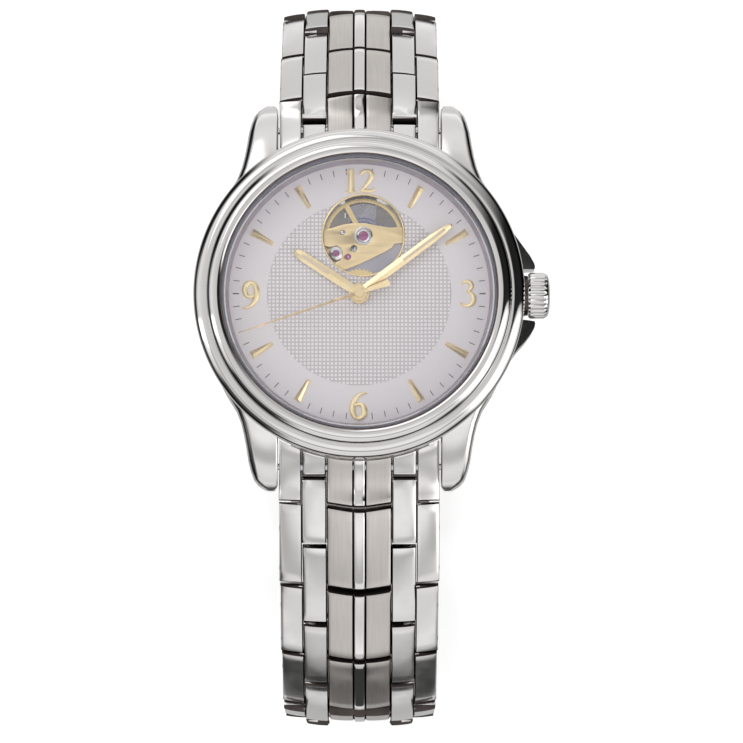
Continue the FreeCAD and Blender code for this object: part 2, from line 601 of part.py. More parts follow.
def rotor():
    """Half-disc winding weight with a heavy rim, on a ball-bearing bore."""
    z0, z1 = ROTOR_Z
    half = block(-20, 20, -20, 0, -5, 9)
    weight = ring(13.2, 11.0, z0, z1).common(half)
    web = cylinder(11.2, 2.05, 2.35).common(half)
    for side in (-1, 1):
        hole = prism([(2.2 * side, -3.0), (8.2 * side, -3.0), (4.8 * side, -8.6), (1.6 * side, -9.4)], 1, 4)
        web = web.cut(hole)
    hub = cylinder(2.7, 1.75, 2.5)
    return joined([weight, web, hub]).cut(cylinder(1.55, 1, 4))


def screw(at, head_z, head_up, head_r, shank_r, shank):
    """A cheese-head screw; its head lies above or below head_z."""
    thick = 0.22
    if head_up:
        head = cylinder(head_r, head_z, head_z + thick, at)
        body = joined([head, cylinder(shank_r, head_z - shank, head_z, at)])
        slot = block(at.x - head_r, at.x + head_r, at.y - 0.08, at.y + 0.08, head_z + 0.12, head_z + 1)
    else:
        head = cylinder(head_r, head_z - thick, head_z, at)
        body = joined([head, cylinder(shank_r, head_z, head_z + shank, at)])
        slot = block(at.x - head_r, at.x + head_r, at.y - 0.08, at.y + 0.08, head_z - 1, head_z - 0.12)
    return body.cut(slot)


def bridge_screws():
    return [polar(BRIDGE_SCREW_R, angle) for angle in BRIDGE_SCREW_ANGLES]


def screws():
    heart_t = HEART_BRIDGE_Z[1] - HEART_BRIDGE_Z[0]
    bridge_t = BRIDGE_Z[1] - BRIDGE_Z[0]
    front = [screw(at, HEART_BRIDGE_Z[1], True, 0.5, 0.3, heart_t) for at in HEART_SCREWS]
    back = [screw(at, BRIDGE_Z[0], False, 0.9, 0.5, bridge_t) for at in bridge_screws() + [COCK_SCREW]]
    return front + back


# ================================================================ crown
def crown():
    """A fluted crown with a domed end, counterbored for the case tube."""
    x0, x1 = CROWN_X
    flutes = 24
    points = []
    for flute in range(flutes):
        for radius, share in ((CROWN_R, -0.22), (CROWN_R, 0.22), (CROWN_R - 0.2, 0.5)):
            angle = math.radians((flute + share) * 360.0 / flutes)
            points.append((radius * math.cos(angle), CROWN_Z + radius * math.sin(angle)))
    body = prism_x(points, x0, x1)
    length = x1 - x0
    profile = [V(x0, 0, 0), V(x0, 0, CROWN_R - 0.3), V(x0 + 0.3, 0, CROWN_R), V(x1 - 0.75, 0, CROWN_R)]
    edges = [Part.makeLine(a, b) for a, b in zip(profile, profile[1:])]
    edges.append(Part.Arc(profile[-1], V(x1 - 0.25, 0, CROWN_R * 0.72), V(x1, 0, 0)).toShape())
    edges.append(Part.makeLine(V(x1, 0, 0), V(x0, 0, 0)))
    dome = Part.Face(Part.Wire(edges)).revolve(V(0, 0, 0), V(1, 0, 0), 360)
    dome.translate(V(0, 0, CROWN_Z))
    body = body.common(dome)
    body = body.cut(rod_x(TUBE_R + 0.1, x0 - 1, x0 + 0.85, 0, CROWN_Z))
    return body.cut(rod_x(STEM_R, x0 - 1, x0 + length * 0.6, 0, CROWN_Z))


def winding_stem():
    return rod_x(STEM_R, 12.4, CROWN_X[0] + (CROWN_X[1] - CROWN_X[0]) * 0.6, 0, CROWN_Z)


def winding_pinion():
    points = []
    for tooth in range(12):
        for radius, share in ((0.8, -0.2), (0.8, 0.2), (0.62, 0.35), (0.62, 0.65)):
            angle = math.radians((tooth + share) * 30)
            points.append((radius * math.cos(angle), CROWN_Z + radius * math.sin(angle)))
    return prism_x(points, 12.7, 13.6).cut(rod_x(STEM_R + 0.03, 12, 15, 0, CROWN_Z))


# ================================================================ bracelet
def pin_places(side):
    """Hinge pins of one half of the bracelet, from the case outwards, for y growing away from the case."""
    y, z = FIRST_PIN_Y[side], FIRST_PIN_Z
    places = [(y, z)]
    for slope in SLOPES[side]:
        y += PITCH * math.cos(math.radians(slope))
        z -= PITCH * math.sin(math.radians(slope))
        places.append((y, z))
    return places


def link_blank(x0, x1, start=None, end=None):
    """A link piece along +Y, its pins at y = 0 and y = PITCH, its outside up and its ends undercut."""
    reach = PITCH / 2 - LINK_GAP / 2
    low = -reach if start is None else -start
    high = PITCH + (reach if end is None else end)
    lip = HALF_T - 0.5
    outline = [(low, HALF_T), (high, HALF_T), (high, lip), (high - END_UNDERCUT, -HALF_T),
               (low + END_UNDERCUT, -HALF_T), (low, lip)]
    return prism_x(outline, x0, x1)


def dome(low_y, high_y):
    """Everything under the bracelet's curved top, for links laid along +Y."""
    wide = 12.0
    sag = wide * wide / (2 * DOME_R)
    left, right = V(-wide, low_y, HALF_T - sag), V(wide, low_y, HALF_T - sag)
    arc = Part.Arc(left, V(0, low_y, HALF_T), right).toShape()
    rest = [right, V(wide, low_y, -5), V(-wide, low_y, -5), left]
    sides = [Part.makeLine(a, b) for a, b in zip(rest, rest[1:])]
    return Part.Face(Part.Wire([arc] + sides)).extrude(V(0, high_y - low_y, 0))


def arched(shape):
    """A link piece with its top cut to the bracelet's curve."""
    return shape.common(dome(-6, 14))


def both_sides(x0, x1, **ends):
    piece = arched(link_blank(x0, x1, **ends))
    return [piece, mirrored_x(piece)]


def round_nosed(x0, x1):
    """The first narrow link's piece, rounded about its first pin to turn in the end link's pocket."""
    blank = link_blank(x0, x1, start=-0.6)
    nose = rod_x(HALF_T, x0, x1, 0, 0)
    neck = block(x0, x1, 0, 0.7, -HALF_T, HALF_T)
    piece = arched(joined([blank, neck, nose]))
    return [piece, mirrored_x(piece)]


def bored(pieces, radius, places):
    drills = [rod_x(radius, -12, 12, y, z) for y, z in places]
    result = []
    for piece in pieces:
        for drill in drills:
            piece = piece.cut(drill)
        result.append(piece)
    return result


def wide_link(scale):
    """Outer, brushed and centre pieces held together by two pins."""
    pieces = [arched(link_blank(-CENTRE_HALF * scale, CENTRE_HALF * scale))]
    pieces += both_sides(CENTRE_HALF * scale, BRUSHED_OUT * scale)
    pieces += both_sides(OUTER_IN * scale, OUTER_OUT * scale)
    pieces = bored(pieces, PIN_R, [(0, 0), (PITCH, 0)])
    half = OUTER_OUT * scale - 0.1
    return pieces + [rod_x(PIN_R, -half, half, y, 0) for y in (0, PITCH)]


def narrow_link(scale, first, last):
    """The pair of middle pieces, which turn on the pins of their neighbours."""
    x0, x1 = MIDDLE_IN * scale, MIDDLE_OUT * scale
    if first:
        pieces = round_nosed(x0, x1)
    elif last:
        pieces = both_sides(x0, x1, end=HALF_T + 0.1)
    else:
        pieces = both_sides(x0, x1)
    return bored(pieces, PIN_BORE_R, [(0, 0), (PITCH, 0)])


def clasp_link(scale):
    """Last link of the 12 o'clock half: two prongs that join into one block round the clasp's spring bar."""
    half = MIDDLE_OUT * scale
    shape = arched(link_blank(-half, half, end=HALF_T + 0.1))
    fork = block(-MIDDLE_IN * scale, MIDDLE_IN * scale, -4, PITCH / 2 + 0.35, -3, 3)
    body = shape.cut(fork)
    body = body.cut(rod_x(PIN_BORE_R, -12, 12, 0, 0)).cut(rod_x(CLASP_BAR_R, -12, 12, PITCH, 0))
    bar = rod_x(CLASP_BAR_R, -half + 0.1, half - 0.1, PITCH, 0)
    return [body, bar]


def place_link(shapes, side, index, places):
    """Turn a link by its slope and carry it to its first pin; the 6 o'clock half is a mirror image."""
    y, z = places[index]
    for shape in shapes:
        shape.rotate(V(0, 0, 0), V(1, 0, 0), -SLOPES[side][index])
        shape.translate(V(0, y, z))
    if side == "6":
        shapes = [mirrored_y(shape) for shape in shapes]
    return shapes


def bracelet():
    for side in ("12", "6"):
        places = pin_places(side)
        count = len(SLOPES[side])
        for index in range(count):
            scale = 1 - TAPER * index
            last = index == count - 1
            if index % 2:
                shapes = wide_link(scale)
            elif last and side == "12":
                shapes = clasp_link(scale)
            else:
                shapes = narrow_link(scale, index == 0, last)
            shapes = place_link(shapes, side, index, places)
            save("link_%s_%02d" % (side, index + 1), shapes)


def end_link(side):
    """Solid end piece between the lugs, with pockets for the first narrow link."""
    pin_y = FIRST_PIN_Y[side]
    reach = {"12": HALF_T + 0.25, "6": PITCH / 2 - LINK_GAP / 2}[side]
    lip = FIRST_PIN_Z + HALF_T - 0.5
    half = OUTER_OUT + 0.05
    top = FIRST_PIN_Z + HALF_T
    low = FIRST_PIN_Z - HALF_T
    crest = [(16.0, 5.7), (18.6, 5.05), (20.9, 4.1), (pin_y, top), (pin_y + reach, top - 0.25)]
    outline = crest + [(pin_y + reach, lip), (pin_y + reach - 0.6, low), (16.0, low)]
    body = prism_x(outline, -half, half).cut(cylinder(CASE_R + 0.02, -1, 12))
    for sign in (-1, 1):
        low, high = sorted((sign * (MIDDLE_IN - 0.1), sign * (MIDDLE_OUT + 0.1)))
        pocket = joined([rod_x(HALF_T + 0.12, low, high, pin_y, FIRST_PIN_Z),
                         block(low, high, pin_y, pin_y + 6, -3, 8)])
        body = body.cut(pocket)
    body = body.cut(rod_x(PIN_R, -12, 12, pin_y, FIRST_PIN_Z))
    body = body.cut(rod_x(SPRING_BAR_R, -12, 12, abs(SPRING_BAR_Y[side]), SPRING_BAR_Z))
    pin = rod_x(PIN_R, -half + 0.1, half - 0.1, pin_y, FIRST_PIN_Z)
    return [body, pin]


def end_links():
    lower = [mirrored_y(shape) for shape in end_link("6")]
    return end_link("12") + lower


def spring_bars():
    bars = []
    for y in SPRING_BAR_Y.values():
        tube = rod_x(SPRING_BAR_R, -SPRING_BAR_HALF, SPRING_BAR_HALF, y, SPRING_BAR_Z)
        tips = rod_x(SPRING_BAR_TIP_R, -SPRING_BAR_TIP_HALF, SPRING_BAR_TIP_HALF, y, SPRING_BAR_Z)
        bars.append(joined([tube, tips]))
    return bars


# ================================================================ clasp
# the clasp's places follow from where the two halves of the bracelet end
CLASP_12 = pin_places("12")[-1]
CLASP_6 = pin_places("6")[-1]
CLASP_BASE = CLASP_12[1] - CLASP_DROP
FAR_HINGE = (-CLASP_6[0] + FAR_HINGE_IN, CLASP_BASE + FAR_HINGE_RISE)       # cover to middle blade
NEAR_HINGE = (CLASP_12[0] - NEAR_HINGE_IN, CLASP_BASE + NEAR_HINGE_RISE)    # middle to inner blade


def clasp_cover():
    base = CLASP_BASE
    y0, y1 = FAR_HINGE[0] - 0.65, CLASP_12[0] + 1.5
    floor_end = NEAR_HINGE[0] - 1.9          # lets the cover swing down past the last link
    rise = 0.9
    foot = [(y0, base + rise), (y0 + 5.0, base + 0.15), (y0 + 8.0, base)]
    foot += [(y1 - 8.0, base), (y1 - 5.0, base + 0.15), (y1, base + rise)]
    crest = [(y1, base + 2.9), (y1 - 1.2, base + 3.3), (y0 + 1.2, base + 3.3), (y0, base + 2.2)]
    outline = foot + crest
    body = prism_x(outline, -CLASP_HALF_W, CLASP_HALF_W)
    inside = CLASP_HALF_W - CLASP_WALL
    body = body.cut(block(-inside, inside, y0 + 0.001, floor_end, base + CLASP_FLOOR, base + 6))
    body = body.cut(block(-inside, inside, y0 - 1, y0 + 0.1, base + CLASP_FLOOR, base + 6))
    body = body.cut(block(-OUTER_IN, OUTER_IN, floor_end, y1 + 1, base - 1, base + 6))
    body = body.cut(rod_x(0.9, -BLADE_HALF_W, BLADE_HALF_W, *FAR_HINGE))
    body = body.cut(rod_x(0.62, -8.2, 8.2, *CLASP_12))
    barrels = []
    for sign in (-1, 1):
        low, high = sorted((sign * 3.6, sign * (inside + 0.2)))
        barrels.append(rod_x(0.6, low, high, *FAR_HINGE))
        barrels.append(block(low, high, FAR_HINGE[0] - 0.4, FAR_HINGE[0] + 1.2, base + 0.9, base + 1.6))
    body = joined([body] + barrels)
    body = body.cut(rod_x(CLASP_PIN_R, -6.5, 6.5, *FAR_HINGE))
    pin = rod_x(CLASP_PIN_R, -6.5, 6.5, *FAR_HINGE)
    return [body.removeSplitter(), pin]


def middle_blade():
    z0 = CLASP_BASE + MIDDLE_BLADE_RISE
    plate = block(-BLADE_HALF_W, BLADE_HALF_W, FAR_HINGE[0] + 1.4, NEAR_HINGE[0] - 1.1, z0, z0 + BLADE_T)
    window = block(-3.4, 3.4, FAR_HINGE[0] + 6, NEAR_HINGE[0] - 6, z0 - 1, z0 + 2)
    plate = plate.cut(window)
    far = joined([rod_x(0.6, -3.4, 3.4, *FAR_HINGE),
                  block(-3.4, 3.4, FAR_HINGE[0], FAR_HINGE[0] + 1.5, z0, z0 + BLADE_T)])
    near = joined([rod_x(0.75, -1.8, 1.8, *NEAR_HINGE),
                   block(-1.8, 1.8, NEAR_HINGE[0] - 1.2, NEAR_HINGE[0], z0 + 0.15, z0 + BLADE_T)])
    body = joined([plate, far, near])
    body = body.cut(rod_x(CLASP_PIN_BORE_R, -8, 8, *FAR_HINGE)).cut(rod_x(CLASP_PIN_R, -8, 8, *NEAR_HINGE))
    pin = rod_x(CLASP_PIN_R, -BLADE_HALF_W, BLADE_HALF_W, *NEAR_HINGE)
    return [body, pin]


def inner_blade():
    z0 = CLASP_BASE + INNER_BLADE_RISE
    last_scale = 1 - TAPER * (len(SLOPES["6"]) - 1)
    knuckle_half = MIDDLE_IN * last_scale - 0.12
    knuckle_y, knuckle_z = -CLASP_6[0], CLASP_6[1]
    plate = block(-BLADE_HALF_W, BLADE_HALF_W, knuckle_y + 2.2, NEAR_HINGE[0] - 1.1, z0, z0 + BLADE_T)
    window = block(-2.6, 2.6, knuckle_y + 8, NEAR_HINGE[0] - 6, z0 - 1, z0 + 2)
    plate = plate.cut(window)
    neck = block(-knuckle_half, knuckle_half, knuckle_y, knuckle_y + 2.5, z0, z0 + BLADE_T)
    knuckle = rod_x(1.1, -knuckle_half, knuckle_half, knuckle_y, knuckle_z)
    pieces = [plate, neck, knuckle]
    for sign in (-1, 1):
        low, high = sorted((sign * 2.0, sign * BLADE_HALF_W))
        pieces.append(rod_x(0.75, low, high, *NEAR_HINGE))
        pieces.append(block(low, high, NEAR_HINGE[0] - 1.2, NEAR_HINGE[0], z0, z0 + BLADE_T - 0.1))
    body = joined(pieces)
    body = body.cut(rod_x(CLASP_PIN_BORE_R, -8, 8, *NEAR_HINGE))
    body = body.cut(rod_x(PIN_R, -8, 8, knuckle_y, knuckle_z))
    half = MIDDLE_OUT * last_scale
    pin = rod_x(PIN_R, -half + 0.1, half - 0.1, knuckle_y, knuckle_z)
    return [body, pin]


# ================================================================ everything
def main():
    os.makedirs("parts", exist_ok=True)
    save("case_middle", case_middle())
    save("bezel", bezel())
    save("crystal", crystal())
    save("gaskets", gaskets())
    save("case_back", case_back())
    save("back_glass", cylinder(BACK_GLASS_R, 0, 0.9))
    save("dial", dial())
    save("aperture_ring", aperture_ring())
    save("hour_markers", [baton(hour) for hour in (1, 2, 4, 5, 7, 8, 10, 11)] + numerals())
    save("hour_hand", hand(9.3, 0.45, 0.48, 5.2, HOUR_HAND_Z, HOUR_ANGLE, 1.25, HOUR_BORE_R))
    save("minute_hand", hand(13.95, 0.4, 0.44, 8.0, MINUTE_HAND_Z, MINUTE_ANGLE, 1.0, MINUTE_BORE_R))
    save("seconds_hand", hand(15.15, 0.11, 0.09, 9.0, SECONDS_HAND_Z, SECONDS_ANGLE, 0.62, SECONDS_BORE_R,
                              tail=3.84, tail_half=0.33))
    save("crown", crown())
    save("winding_stem", winding_stem())
    save("winding_pinion", winding_pinion())
    save("main_plate", main_plate())
    save("heart_bridge", heart_bridge())
    save("balance_wheel", balance_wheel())
    save("hairspring", hairspring())
    save("pallet_fork", pallet_fork())
    save("escape_wheel", escape_wheel())
    save("fourth_wheel", fourth_wheel())
    save("third_wheel", third_wheel())
    save("centre_wheel", centre_wheel())
    save("barrel", barrel())
    save("cannon_pinion", cannon_pinion())
    save("minute_wheel", minute_wheel())
    save("hour_wheel", hour_wheel())
    save("train_bridge", train_bridge())
    save("rotor", rotor())
    save("screws", screws())
    save("end_links", end_links())
    save("spring_bars", spring_bars())
    save("clasp_cover", clasp_cover())
    save("middle_blade", middle_blade())
    save("inner_blade", inner_blade())
    bracelet()


main()
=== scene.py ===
"""Looks of the open-heart wristwatch: detailed pieces, materials, studio light and camera.

Lengths in the helpers are millimetres; every object is stored in metres in the frame's own axes.
"""
import json
import math

import bmesh
import bpy
from mathutils import Matrix, Vector


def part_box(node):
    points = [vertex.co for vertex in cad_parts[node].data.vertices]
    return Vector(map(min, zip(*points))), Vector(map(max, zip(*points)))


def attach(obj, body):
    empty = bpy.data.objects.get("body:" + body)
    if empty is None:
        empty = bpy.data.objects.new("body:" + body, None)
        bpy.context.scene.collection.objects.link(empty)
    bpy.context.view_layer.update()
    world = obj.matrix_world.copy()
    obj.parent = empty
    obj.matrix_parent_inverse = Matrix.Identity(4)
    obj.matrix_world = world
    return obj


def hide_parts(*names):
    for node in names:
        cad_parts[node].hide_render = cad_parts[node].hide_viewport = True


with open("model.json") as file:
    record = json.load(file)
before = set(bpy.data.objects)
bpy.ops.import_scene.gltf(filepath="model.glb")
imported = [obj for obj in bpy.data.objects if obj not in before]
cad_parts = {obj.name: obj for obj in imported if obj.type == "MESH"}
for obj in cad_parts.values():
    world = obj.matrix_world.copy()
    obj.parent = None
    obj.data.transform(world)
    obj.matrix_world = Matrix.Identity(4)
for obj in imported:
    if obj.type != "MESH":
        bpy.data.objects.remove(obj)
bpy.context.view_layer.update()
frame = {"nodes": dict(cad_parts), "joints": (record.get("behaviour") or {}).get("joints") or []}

MM = 0.001
JOINTS = {joint["name"]: joint for joint in frame["joints"]}


def joint_at(name):
    """A hinge's place in millimetres."""
    return Vector(JOINTS[name]["pos_m"]) / MM


def top_of(node):
    """The height of a CAD piece's upper end, in millimetres."""
    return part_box(node)[1].z / MM


def foot_of(node):
    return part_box(node)[0].z / MM


CASE_JOINT = foot_of("bezel")
CRYSTAL_SEAT = foot_of("crystal")
CRYSTAL_TOP = top_of("crystal")
DIAL_TOP = top_of("dial")
LUG_TIP_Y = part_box("case_middle")[1].y / MM
CROWN_Z = joint_at("crown_turn").z
HEART = joint_at("balance_swing")
HEART_AT = (HEART.x, HEART.y)


# ================================================================ materials
class Nodes:
    """A small helper around one material's node tree."""

    def __init__(self, name):
        self.material = bpy.data.materials.new(name)
        self.material.use_nodes = True
        self.tree = self.material.node_tree
        self.shader = self.tree.nodes["Principled BSDF"]

    def add(self, kind, **inputs):
        node = self.tree.nodes.new(kind)
        for key, value in inputs.items():
            node.inputs[key.replace("_", " ")].default_value = value
        return node

    def link(self, a, b):
        self.tree.links.new(a, b)

    def set(self, **sockets):
        for key, value in sockets.items():
            self.shader.inputs[key.replace("_", " ")].default_value = value
        return self

    def place(self, stretch=(1, 1, 1), turn=(0, 0, 0)):
        """Object coordinates, stretched so that a texture's grain follows the piece."""
        coordinates = self.add("ShaderNodeTexCoord")
        mapping = self.add("ShaderNodeMapping")
        mapping.inputs["Scale"].default_value = stretch
        mapping.inputs["Rotation"].default_value = turn
        self.link(coordinates.outputs["Object"], mapping.inputs["Vector"])
        return mapping.outputs["Vector"]

    def noise(self, vector, scale, detail=3.0, roughness=0.55):
        node = self.add("ShaderNodeTexNoise", Scale=scale, Detail=detail, Roughness=roughness)
        self.link(vector, node.inputs["Vector"])
        return node.outputs["Fac"]

    def spread(self, fac, low, high):
        """A noise factor mapped to the range low..high."""
        node = self.add("ShaderNodeMapRange")
        node.inputs["From Min"].default_value, node.inputs["From Max"].default_value = 0.3, 0.7
        node.inputs["To Min"].default_value, node.inputs["To Max"].default_value = low, high
        self.link(fac, node.inputs["Value"])
        return node.outputs["Result"]

    def blend(self, fac, first, second):
        node = self.add("ShaderNodeMix")
        node.data_type = "RGBA"
        self.link(fac, node.inputs["Factor"])
        node.inputs["A"].default_value = (*first, 1)
        node.inputs["B"].default_value = (*second, 1)
        return node.outputs["Result"]

    def bump(self, height, strength, distance):
        node = self.add("ShaderNodeBump", Strength=strength, Distance=distance)
        self.link(height, node.inputs["Height"])
        self.link(node.outputs["Normal"], self.shader.inputs["Normal"])

    def colour(self, socket):
        self.link(socket, self.shader.inputs["Base Color"])

    def roughness(self, socket):
        self.link(socket, self.shader.inputs["Roughness"])

    def mottle(self, fac, first, second):
        """A base colour that wanders between two tones with a texture."""
        self.colour(self.blend(self.spread(fac, 0, 1), first, second))


def polished(name, colour, rough=0.07, tint=None):
    """Mirror polish with the faint haze and hairlines that wear leaves."""
    look = Nodes(name).set(Metallic=1.0)
    haze = look.noise(look.place(), 260.0, 4.0)
    lines = look.noise(look.place((1, 9, 5), (0.3, 0.2, 0.6)), 900.0, 2.0)
    look.mottle(haze, colour, tint or tuple(c * 0.95 for c in colour))
    look.roughness(look.spread(haze, rough * 0.7, rough * 1.6))
    look.bump(lines, 0.02, 0.00002)
    return look.material


def brushed(name, colour, rough, depth):
    """Straight-grained steel: fine long lines along the bracelet, with their own sheen."""
    grain = (1.0, 0.03, 0.03)
    look = Nodes(name).set(Metallic=1.0, Anisotropic=0.45)
    fine = look.noise(look.place(grain), 16000.0, 2.0, 0.6)
    wide = look.noise(look.place(grain), 6500.0, 2.0, 0.5)
    look.mottle(wide, colour, tuple(c * 0.90 for c in colour))
    look.roughness(look.spread(fine, rough * 0.85, rough * 1.15))
    look.bump(fine, depth, 0.00001)
    return look.material


def frosted(name, colour, shade, rough=0.35, grain=5200.0):
    """Fine-grained gilt or nickel plate."""
    look = Nodes(name).set(Metallic=1.0)
    fine = look.noise(look.place(), grain, 4.0, 0.7)
    wide = look.noise(look.place(), 300.0, 2.0)
    look.mottle(wide, colour, shade)
    look.roughness(look.spread(fine, rough * 0.8, rough * 1.25))
    look.bump(fine, 0.25, 0.00001)
    return look.material


def striped(name, colour, shade):
    """Nickel plate with broad polished stripes."""
    look = Nodes(name).set(Metallic=1.0)
    wave = look.add("ShaderNodeTexWave", Scale=115.0, Distortion=0.0)
    wave.wave_profile = "SAW"
    look.link(look.place((1, 1, 1), (0, 0, 0.6)), wave.inputs["Vector"])
    fine = look.noise(look.place((1, 6, 1), (0, 0, 0.6)), 2500.0, 2.0)
    look.colour(look.blend(wave.outputs["Fac"], colour, shade))
    look.roughness(look.spread(fine, 0.18, 0.34))
    look.bump(wave.outputs["Fac"], 0.3, 0.00005)
    return look.material


def jewel_red(name):
    """Polished synthetic ruby."""
    look = Nodes(name).set(Roughness=0.05, Coat_Weight=1.0, Coat_Roughness=0.02)
    cloud = look.noise(look.place(), 1500.0, 2.0)
    look.mottle(cloud, (0.20, 0.01, 0.10), (0.42, 0.05, 0.26))
    return look.material


def dial_silver(name, rough, grain, light=1.0, metal=0.25):
    """Silvered dial surface with a very fine grain; a light above 1 paints a highlight into its colour and
    one below 1 paints shade.
    """
    look = Nodes(name).set(Metallic=metal, Specular_IOR_Level=0.4)
    fine = look.noise(look.place(), grain, 3.0, 0.7)
    wide = look.noise(look.place(), 60.0, 2.0)
    first, second = (0.80, 0.755, 0.775), (0.77, 0.725, 0.75)
    look.mottle(wide, tuple(light * c for c in first), tuple(light * c for c in second))
    look.roughness(look.spread(fine, rough * 0.85, rough * 1.2))
    look.bump(fine, 0.08, 0.00001)
    return look.material


def print_black(name):
    """Printing ink."""
    look = Nodes(name).set(Roughness=0.6)
    fine = look.noise(look.place(), 9000.0, 2.0)
    look.mottle(fine, (0.10, 0.085, 0.10), (0.14, 0.12, 0.14))
    return look.material


def clear(name, alpha):
    """Thin clear sapphire: it lets the light through and keeps a faint gloss."""
    look = Nodes(name).set(Alpha=alpha, Base_Color=(0.96, 0.97, 1.0, 1))
    smear = look.noise(look.place(), 90.0, 3.0)
    look.roughness(look.spread(smear, 0.01, 0.05))
    return look.material


def seal_dark(name):
    """Dark gasket rubber."""
    look = Nodes(name).set(Subsurface_Weight=0.2)
    fine = look.noise(look.place(), 3000.0, 2.0)
    look.mottle(fine, (0.16, 0.15, 0.20), (0.13, 0.12, 0.16))
    look.roughness(look.spread(fine, 0.35, 0.5))
    return look.material


def spring_blue(name):
    """Heat-blued spring steel."""
    look = Nodes(name).set(Metallic=1.0)
    fine = look.noise(look.place(), 2500.0, 2.0)
    look.mottle(fine, (0.16, 0.20, 0.45), (0.25, 0.22, 0.40))
    look.roughness(look.spread(fine, 0.15, 0.3))
    return look.material


def floor_white(name):
    """Matt paper-white with a faint glow, so that it stays even out to its edge."""
    look = Nodes(name).set(Roughness=0.9, Specular_IOR_Level=0.1)
    look.set(Emission_Color=(1, 1, 1, 1), Emission_Strength=0.45)
    fine = look.noise(look.place(), 40.0, 2.0)
    look.mottle(fine, (0.90, 0.90, 0.90), (0.88, 0.88, 0.88))
    return look.material


STEEL = (0.71, 0.695, 0.685)
GOLD = (0.98, 0.80, 0.48)
M = {
    "mirror": polished("steel_mirror", STEEL, 0.05),
    "satin": polished("steel_satin", STEEL, 0.16),
    "brushed": brushed("steel_brushed", (0.60, 0.565, 0.535), 0.33, 0.12),
    # Near-black steel for the links' sides in the gaps between columns and for the collar behind the crown:
    # painted shade
    "flank": frosted("steel_painted_shade", (0.10, 0.085, 0.075), (0.06, 0.05, 0.05), 0.4),
    "case_satin": polished("steel_case", STEEL, 0.14),
    "figure": frosted("gold_figure", (1.0, 0.84, 0.50), (0.97, 0.80, 0.46), 0.42, 2500.0),
    "seat": polished("crystal_seat", (0.22, 0.21, 0.27), 0.2),
    "inner_steel": brushed("steel_inner", (0.55, 0.54, 0.54), 0.4, 0.2),
    "gold": polished("gold_polished", GOLD, 0.22, (0.92, 0.74, 0.42)),
    "gilt": frosted("gilt_frosted", (0.90, 0.72, 0.42), (0.82, 0.64, 0.36), 0.33),
    "gilt_wheel": frosted("gilt_wheel", (0.92, 0.72, 0.38), (0.84, 0.64, 0.32), 0.25, 3000.0),
    # Nickel bridges and plate, darker than nickel's own grey-lavender tone: partly their tone, partly painted
    # shade for the recess under the dial
    "nickel": striped("nickel_striped_shaded", (0.40, 0.39, 0.43), (0.33, 0.32, 0.36)),
    "plate": frosted("nickel_frosted_shaded", (0.50, 0.48, 0.55), (0.42, 0.40, 0.47), 0.4),
    "arbor": polished("steel_arbor", (0.60, 0.60, 0.62), 0.15),
    "ruby": jewel_red("ruby"),
    "dial": dial_silver("dial_satin", 0.45, 6000.0),
    # Lit and shaded copies of the dial silver: the engine-turned tops are brighter as a painted highlight,
    # the pyramids' slopes darker as painted shade
    "guilloche_painted_light": dial_silver("dial_engine_turned_painted_light", 0.34, 9000.0, 1.14, 0.2),
    "groove": dial_silver("dial_groove_painted_shade", 0.45, 9000.0, 0.8, 0.15),
    "flange": polished("flange", (0.44, 0.40, 0.46), 0.38),
    "ink": print_black("ink"),
    "crystal": clear("crystal", 0.05),
    "back_glass": clear("back_crystal", 0.08),
    "seal": seal_dark("seal"),
    "blue": spring_blue("blued_steel"),
    "hand_slot": frosted("hand_slot", (0.80, 0.68, 0.52), (0.72, 0.60, 0.46), 0.5),
    "floor": floor_white("floor"),
}


# ================================================================ mesh helpers
def put(name, mesh, materials, body, nodes=(), sharp=38):
    """Makes the object, shades it smooth with sharp creases, and lets it ride on its body."""
    for polygon in mesh.polygons:
        polygon.use_smooth = True
    work = bmesh.new()
    work.from_mesh(mesh)
    for edge in creases(work, sharp):
        edge.smooth = False
    work.to_mesh(mesh)
    work.free()
    slots = [polygon.material_index for polygon in mesh.polygons]
    mesh.materials.clear()
    for key in materials if isinstance(materials, (list, tuple)) else [materials]:
        mesh.materials.append(M[key])
    mesh.polygons.foreach_set("material_index", slots)
    obj = bpy.data.objects.new(name, mesh)
    bpy.context.scene.collection.objects.link(obj)
    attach(obj, body)
    if nodes:
        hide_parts(*nodes)
    return obj


def to_mesh(work, name, doubles=True):
    """Closes a bmesh drawn in millimetres and returns it as a mesh in metres."""
    if doubles:
        bmesh.ops.remove_doubles(work, verts=work.verts, dist=1e-5)
    bmesh.ops.recalc_face_normals(work, faces=work.faces)
    bmesh.ops.scale(work, vec=(MM, MM, MM), verts=work.verts)
    mesh = bpy.data.meshes.new(name)
    work.to_mesh(mesh)
    work.free()
    return mesh


def lathe(work, profile, segments, at=(0, 0), closed=True):
    """Turns a (radius, z) profile about a vertical axis."""
    rings = []
    for radius, z in profile:
        if radius < 1e-6:
            rings.append([work.verts.new((at[0], at[1], z))] * segments)
            continue
        rings.append([work.verts.new((x, y, z)) for x, y in circle(radius, at, segments)])
    pairs = list(zip(rings, rings[1:]))
    if closed:
        pairs.append((rings[-1], rings[0]))
    for a, b in pairs:
        for i in range(segments):
            j = (i + 1) % segments
            corners = []
            for vert in (a[i], a[j], b[j], b[i]):
                if vert not in corners:
                    corners.append(vert)
            if len(corners) > 2:
                work.faces.new(corners)


def ellipse_arc(centre, rx, ry, start, end, steps):
    """Points on part of an ellipse between two angles in degrees."""
    points = []
    for i in range(steps + 1):
        angle = math.radians(start + (end - start) * i / steps)
        points.append((centre[0] + rx * math.cos(angle), centre[1] + ry * math.sin(angle)))
    return points


